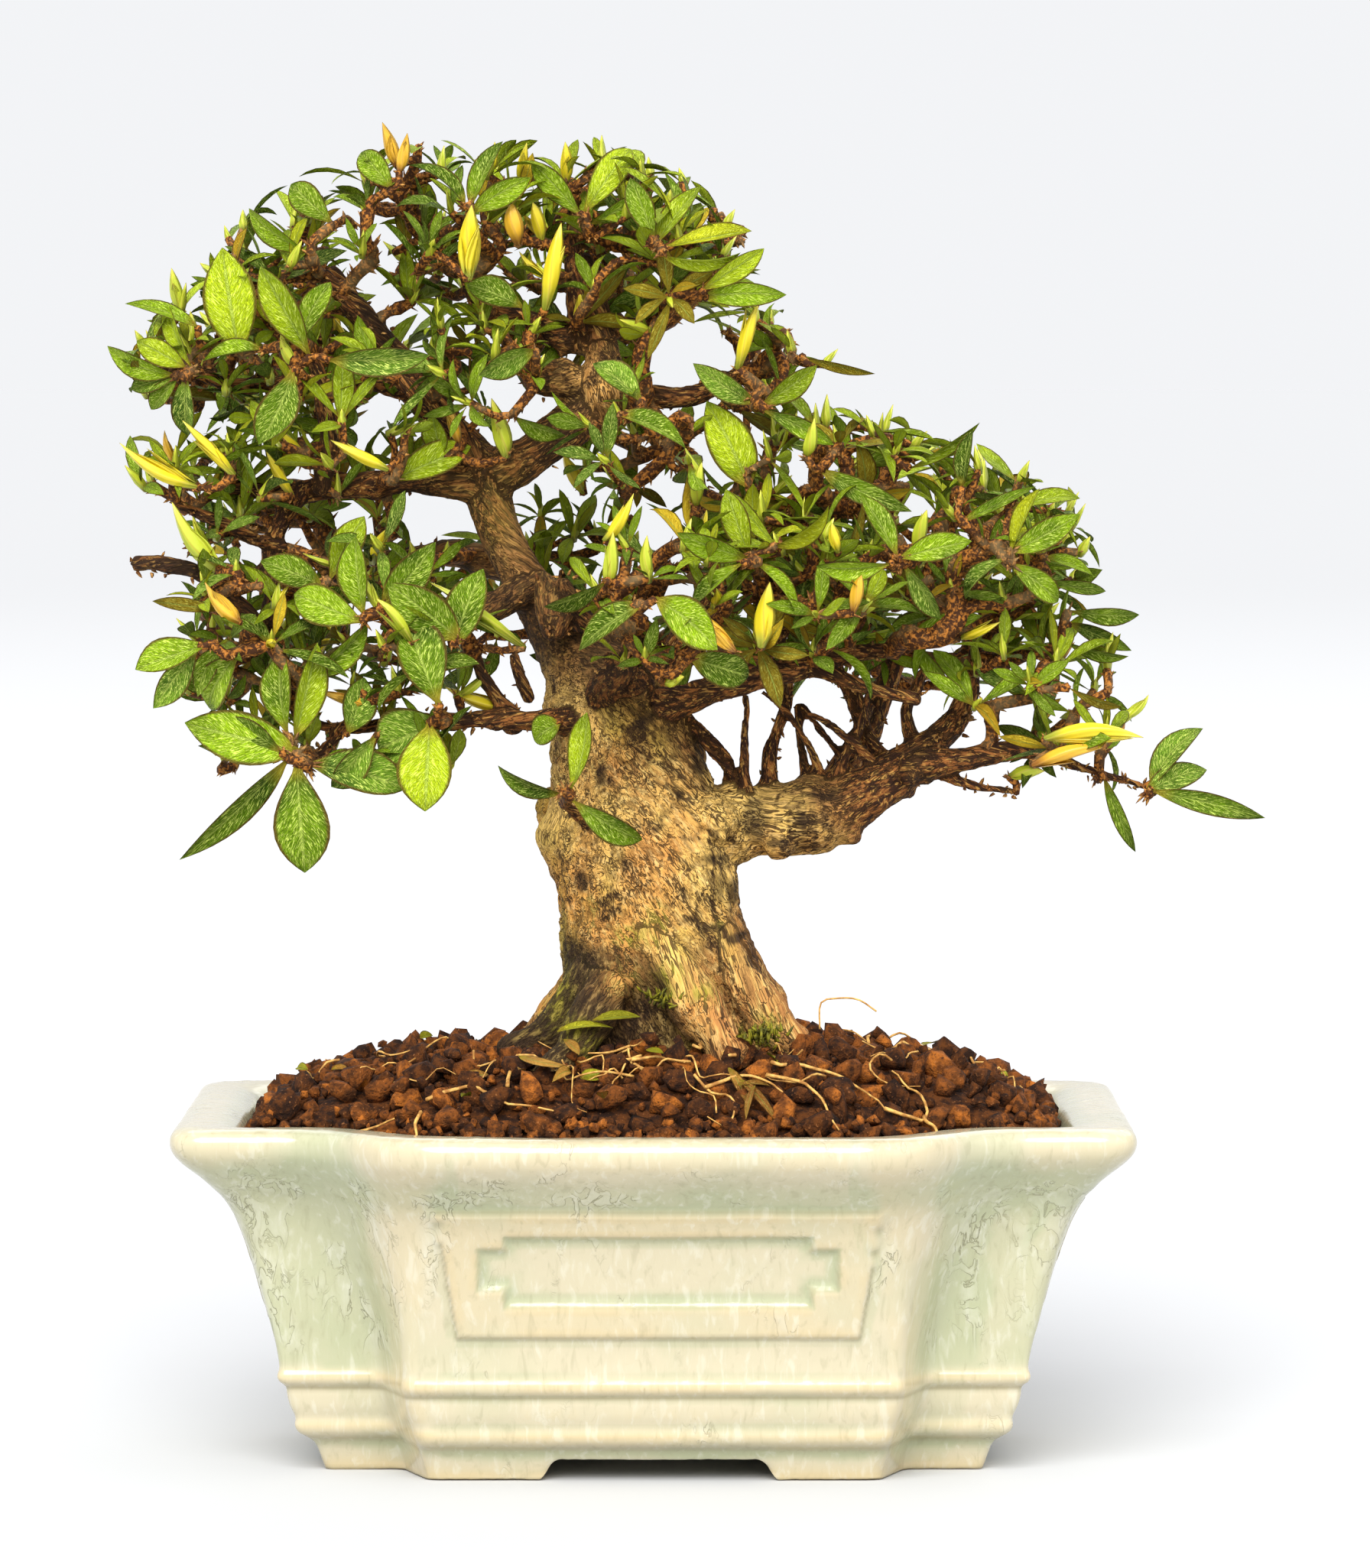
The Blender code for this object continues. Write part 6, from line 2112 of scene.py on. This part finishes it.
    def bristles(self, points: Array, radius: Array, twigs: list[Array]) -> Shape:
        """Old bud scales: little three-sided spikes that lean forward along the twigs and thin boughs.

        Args:
            points: All points of the wood.
            radius: Their radii.
            twigs: Each twig's list of point numbers.

        Returns:
            The spikes as one shape.
        """
        rng = np.random.default_rng(self.seed + 7)
        ends = np.concatenate([np.stack([twig[:-1], twig[1:]], axis=1) for twig in twigs])
        pick = ends[rng.integers(0, len(ends), self.twig_scales)]
        share = rng.uniform(0, 1, (len(pick), 1))
        start = points[pick[:, 0]] * (1 - share) + points[pick[:, 1]] * share
        along = unit(points[pick[:, 1]] - points[pick[:, 0]])
        out = unit(np.cross(along, rng.normal(size=along.shape)))
        way = unit(out + along * rng.uniform(0.5, 2.2, (len(pick), 1)))
        length = rng.uniform(0.4, 1.5, (len(pick), 1)) + 1.2 * radius[pick[:, 1]][:, None]
        scaly = [limb for limb in (*BOUGHS, *SHOOTS) if not limb.name.startswith(("root", "rise"))]
        rows = np.concatenate([limb.line(1.0)[2:] for limb in scaly])
        rows = rows[(rows[:, 2] > 112.0) & (rows[:, 3] < 5.0)]
        rows = rows[rng.integers(0, len(rows), self.bough_scales)]
        thick = np.r_[0 * radius[pick[:, 1]], rows[:, 3] * 0.92][:, None]
        more = unit(rng.normal(size=(len(rows), 3)))
        way = np.concatenate([way, unit(more + (0.5, 0, 0.3) * rng.uniform(0, 1, (len(rows), 1)))])
        start = np.concatenate([start, rows[:, :3]]) + np.concatenate([0 * start, more]) * thick
        length = np.concatenate([length, rng.uniform(0.5, 1.4, (len(rows), 1))])
        path = start[:, None] + way[:, None] * (np.array([0.0, 0.6, 1.0])[None, :, None] * length[:, None])
        return tubes(path, np.array([0.36, 0.28, 0.04]) * rng.uniform(0.6, 1.3, (len(path), 1)), 3)

    def whorls(self, tips: Array, facing: Array, depth: Array) -> LeafRows:
        """A spray of leaves at each twig's end, spread round its axis by the golden angle.

        Args:
            tips: The twigs' ends.
            facing: The way out of the mass at each one.
            depth: How far each lies under the mass's skin.

        Returns:
            The leaves.
        """
        rng = np.random.default_rng(self.seed + 2)
        many = len(tips)
        rise = 0.70 + 0.75 * smooth(tips[:, 2], 185.0, 210.0)[:, None]
        axis = unit(0.62 * facing + np.array([0, 0, 1.0]) * rise + rng.normal(0, 0.26, (many, 3)))
        count = rng.integers(5, 9, many) - (depth > 5.0)
        owner = np.repeat(np.arange(many), count)
        rank = np.concatenate([np.arange(c) for c in count])
        share = rank / count[owner]
        guide = unit(np.cross(axis, unit(rng.normal(size=(many, 3)))))
        other = np.cross(axis, guide)
        turn = rank * GOLDEN + rng.uniform(0, 6.28, many)[owner]
        upright = 14 * smooth(tips[:, 2], 190.0, 212.0)[owner]
        open_by = np.radians(76 - 54 * share + rng.normal(0, 12, len(owner)) - upright)
        out = guide[owner] * np.cos(turn)[:, None] + other[owner] * np.sin(turn)[:, None]
        way = unit(axis[owner] * np.cos(open_by)[:, None] + out * np.sin(open_by)[:, None])
        up = unit(axis[owner] * np.sin(open_by)[:, None] - out * np.cos(open_by)[:, None])
        big = rng.uniform(0.75, 1.30, many)[owner]
        length = (8.4 + 3.4 * np.clip(depth / 9.0, 0, 1)[owner]) * big * (1.0 - 0.34 * share)
        length *= rng.uniform(0.85, 1.15, len(owner))
        width = length * rng.uniform(0.25, 0.40, len(owner))
        foot = tips[owner] + out * 0.4 + axis[owner] * (rank[:, None] * 0.3 - 0.4)
        curl = rng.normal(0.42, 0.36, len(owner))
        fold = np.radians(rng.normal(33, 12, len(owner)))
        sway, full = rng.normal(0, 0.24, len(owner)), rng.uniform(0.85, 1.65, len(owner))
        # The tone follows a light value: higher sprays get lighter greens; as painted light, sprays that face
        # up and those on the right and at the top get lighter greens; as painted shade, sprays deep in a mass
        # get darker ones.
        high = smooth(tips[:, 2], 100.0, 220.0) * 0.35 + 0.65 * smooth(facing[:, 2], -0.8, 0.9)
        painted_sunlight = 0.20 * smooth(tips[:, 0], 4.0, 24.0) + 0.05 * smooth(tips[:, 2], 165.0, 190.0)
        light = high - 0.35 * smooth(depth, 4.0, 9.0) + 0.06 + painted_sunlight + rng.normal(0, 0.27, many)
        tones = np.array(self.by_light)
        tone = tones[(np.clip(light, 0, 0.999) * len(tones)).astype(int)][owner]
        young = (rng.uniform(size=len(owner)) < 0.40) & (share > 0.50)
        tone = np.where(young & (tone < LIME), tone + 1, tone)
        tone = np.where((share > 0.70) & (rng.uniform(size=len(owner)) < 0.22), GOLD, tone)
        return LeafRows(foot, way, up, length, width, curl, fold, sway, full, tone)

    def kept(self, leaves: LeafRows, masses: Masses, box: Box) -> Array:
        """Which leaves stay: in the frame's box, near a mass and out of the gaps of sky.

        Args:
            leaves: The leaves.
            masses: The masses that they may not leave far behind.
            box: The frame's box.

        Returns:
            One truth value for each leaf.
        """
        surface = leaves.surface()
        fits = box.holds(surface).all(axis=(1, 2))
        for row in (3, 5, 7):
            fits &= ~self.in_gap(surface[:, row, 2], 0.2)
        ends = surface[:, -1, 2]
        for i in np.flatnonzero(fits):
            fits[i] = masses.depth(ends[i], self.stray) > -self.stray
        return fits

    def bud_shape(self, foot: Array, tip: Array, width: Array) -> Shape:
        """Buds as spindles with two folded scales against them.

        The spindle's radius is w sin(pi s^0.75)^0.85, so that it is thickest below its middle.

        Args:
            foot: Where each bud starts.
            tip: Where it ends.
            width: Its greatest width.

        Returns:
            The buds as one shape.
        """
        s = np.linspace(0, 1, 9)
        rng = np.random.default_rng(self.seed + 4)
        length = size_of(tip - foot)
        bow = rng.normal(0, 0.045, (len(foot), 1, 3)) * length[:, None, None]
        path = foot[:, None] * (1 - s)[None, :, None] + tip[:, None] * s[None, :, None]
        path = path + bow * np.sin(math.pi * s)[None, :, None]
        swell = np.maximum(np.sin(math.pi * s**0.75) ** 0.85, np.where(s < 0.5, 0.40, 0.04))
        spindle = tubes(path, 0.40 * width[:, None] * swell[None], 8, 0.75)
        way = unit(tip - foot)
        aside = unit(np.cross(way, rng.normal(size=way.shape)))
        scales = []
        for sign in (1.0, -1.0):
            start = foot + aside * sign * width[:, None] * 0.16
            lean = unit(way + aside * sign * rng.uniform(0.02, 0.16, (len(way), 1)))
            long = length * rng.uniform(0.55, 0.92, len(way))
            curl, fold, sway, full = (np.full(len(way), value) for value in (-0.08, 0.85, 0.0, 0.8))
            rows = LeafRows(start, lean, -aside * sign, long, width * 0.95, curl, fold, sway, full, full)
            scales.append(rows.shape(np.ones(len(way), bool)))
        return Shape.joined([Shape(s.points, s.faces, s.uv) for s in (spindle, *scales)])

    def hearts(self, tips: Array, facing: Array) -> Shape:
        """The small closed leaves in the middle of each whorl, as short spindles.

        Args:
            tips: The twigs' ends.
            facing: The way out of the mass at each one.

        Returns:
            The spindles as one shape.
        """
        rng = np.random.default_rng(self.seed + 8)
        way = unit(facing * 0.6 + (0, 0, 0.8) + rng.normal(0, 0.2, tips.shape))
        s = np.array([0.0, 0.35, 0.7, 1.0])
        length = rng.uniform(3, 6, (len(tips), 1, 1))
        path = tips[:, None] - way[:, None] * 0.6 + way[:, None] * s[None, :, None] * length
        return tubes(path, rng.uniform(0.6, 1.0, (len(tips), 1)) * np.array([0.8, 1.0, 0.6, 0.08]), 5)

    def build(self, bench: Bench) -> None:
        """Puts the twigs, the leaves and the buds, which stand for the masses.

        Args:
            bench: Makes the pieces.
        """
        masses, box = Masses.of(bench), Box.of(bench)
        listed, buds = self.shown(masses)
        taken = np.concatenate([listed.foot, buds[:, :3]])
        tips, facing, depth = self.tips(masses, taken)
        bare = self.bare_ends(masses, np.concatenate([tips, taken]))
        points, radius, twigs = self.grow(np.concatenate([tips, taken, bare]))
        skin = Twigs().material()
        bench.put("twigs", self.twig_shape(points, radius, twigs), skin, masses.names)
        scaly = Twigs("scale_skin", (0.13, 0.047, 0.012), (0.58, 0.29, 0.070)).material()
        bench.put("bud_scales", self.bristles(points, radius, twigs), scaly, masses.names)
        seeded = self.whorls(tips, facing, depth)
        stays = self.kept(seeded, masses, box)
        LOG.info("crown: %d twigs, %d of %d seeded leaves", len(twigs), stays.sum(), len(stays))
        inside = box.holds(listed.surface()).all(axis=(1, 2))
        for i in np.flatnonzero(~inside):
            LOG.info("listed leaf %d leaves the box", i)
        for i, kind in enumerate(Tone):
            near = listed.shape(inside & (listed.tone == i), LeafRows.FINE_STEPS)
            piece = Shape.joined([near, seeded.shape(stays & (seeded.tone == i))])
            bench.put(f"leaves_{kind.name.lower()}", piece, kind.skin.material(), masses.names)
        for name, piece, skin in self.buds(buds, tips, facing, box):
            bench.put(name, piece, skin, masses.names)

    def buds(
        self, listed: Array, tips: Array, facing: Array, box: Box
    ) -> Iterator[tuple[str, Shape, Material]]:
        """The listed buds and seeded ones at some of the twigs' ends, kind by kind.

        Args:
            listed: The listed buds, as rows of foot, tip, width and kind.
            tips: The twigs' ends.
            facing: The way out of the mass at each one.
            box: The frame's box.

        Yields:
            Each piece's name, its shape and its material.
        """
        rng = np.random.default_rng(self.seed + 3)
        pick = rng.choice(len(tips), self.seeded_buds, replace=False)
        axis = unit(facing[pick] * 0.7 + (0, 0, 0.8) + rng.normal(0, 0.2, (len(pick), 3)))
        size = rng.uniform(4.5, 8.0, (len(pick), 1))
        kinds = rng.choice(3, len(pick), p=[0.35, 0.4, 0.25])
        more = np.column_stack([tips[pick], tips[pick] + axis * size, size[:, 0] * 0.36, kinds])
        every = np.vstack([listed, more])
        every = every[box.holds(every[:, 3:6], 0.6)]
        skins = (
            BudSkin("lemon", (0.34, 0.36, 0.03), (0.78, 0.63, 0.02), (0.88, 0.74, 0.08)),
            BudSkin("green", (0.24, 0.26, 0.02), (0.48, 0.54, 0.03), (0.80, 0.74, 0.08)),
            BudSkin("amber", (0.30, 0.12, 0.02), (0.78, 0.44, 0.03), (0.66, 0.38, 0.04)),
        )
        for i, skin in enumerate(skins):
            mine = every[every[:, 7] == i]
            piece = self.bud_shape(mine[:, :3], mine[:, 3:6], mine[:, 6])
            if skin.name == "green":
                under = tips[:, 2] < box.high[2] - 6.5
                piece = Shape.joined([piece, self.hearts(tips[under], facing[under])])
            yield f"buds_{skin.name}", piece, skin.material()


@dataclass
class Studio:
    """A pale floor, soft light from all round and three large lamps."""

    floor_radius: float = 60.0
    painted_light_near_pot: float = 1.24
    sky: Colour = (0.895, 0.905, 0.925)
    lamps: tuple[tuple[str, float, float, float, float], ...] = (
        ("key", 50.0, -9.0, 3.9, 44.0), ("fill", 62.0, 50.0, 0.5, 60.0), ("rear", 45.0, 165.0, 0.6, 50.0),
    )

    def build(self) -> None:
        """Makes the floor, the world and the lamps.

        The floor's colour is the sky's divided by the light that falls on it, which is the sky's own
        and each lamp's strength times the cosine of its tilt over pi, so that the horizon fades. Near the
        pot it is lifted, a painted light that washes out the pot's shadow.
        """
        scene = bpy.context.scene
        scene.view_settings.view_transform = "Standard"
        turn = circle(96)
        rings = np.array([0.001, 0.3, 1.0, 6.0, self.floor_radius])[:, None]
        grid = np.stack([rings * np.cos(turn), rings * np.sin(turn), 0 * rings * turn], axis=-1)
        mesh = bpy.data.meshes.new("floor")
        mesh.from_pydata(grid.reshape(-1, 3).tolist(), [], grid_faces(5, 96, ring=True)[:, ::-1].tolist())
        floor = bpy.data.objects.new("floor", mesh)
        scene.collection.objects.link(floor)
        added = sum(power * math.cos(math.radians(tilt)) for _, tilt, _, power, _ in self.lamps) / math.pi
        made = Recipe("floor", 1.0, specular=0.0)
        far = tuple(c / (c + added) for c in self.sky)
        # Near the pot the floor is lifted above its even colour: painted light that washes out the pot's
        # shadow.
        near = tuple(min(0.9, c * self.painted_light_near_pot) for c in far)
        mesh.materials.append(made.dressed(made.mix(made.remap(made.distance(), 0.2, 5.0), near, far)))
        floor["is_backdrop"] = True
        world = bpy.data.worlds.new("studio")
        world.use_nodes = True
        back = world.node_tree.nodes["Background"]
        back.inputs["Color"].default_value = (*self.sky, 1.0)
        back.inputs["Strength"].default_value = 1.0
        scene.world = world
        for name, tilt, turn_by, power, size in self.lamps:
            data = bpy.data.lights.new(name, "SUN")
            data.energy, data.angle = power, math.radians(size)
            lamp = bpy.data.objects.new(name, data)
            scene.collection.objects.link(lamp)
            lamp.rotation_euler = (math.radians(tilt), 0.0, math.radians(turn_by))


def main() -> None:
    """Builds the stage, the pot, the soil, the wood and the crown in order."""
    logging.basicConfig(level=logging.INFO, format="%(name)s: %(message)s")
    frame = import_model()
    sizes = {"cad": [list(map(float, corner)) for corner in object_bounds()]}
    low, high = (np.array(corner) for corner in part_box("pot"))
    bench = Bench(frame["nodes"], (low + high) / 2 * (1, 1, 0))
    sight = Sight()
    sight.place(bench)
    Studio().build()
    pot = GlazedPot()
    pot.build(bench)
    GranularSoil(pot).build(bench, sight)
    Wood().build(bench)
    Crown(sight).build(bench)
    sizes["visual"] = [list(map(float, corner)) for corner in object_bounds()]
    LOG.info("box of the frame %s, of the looks %s", sizes["cad"], sizes["visual"])


if __name__ == "__main__":
    main()
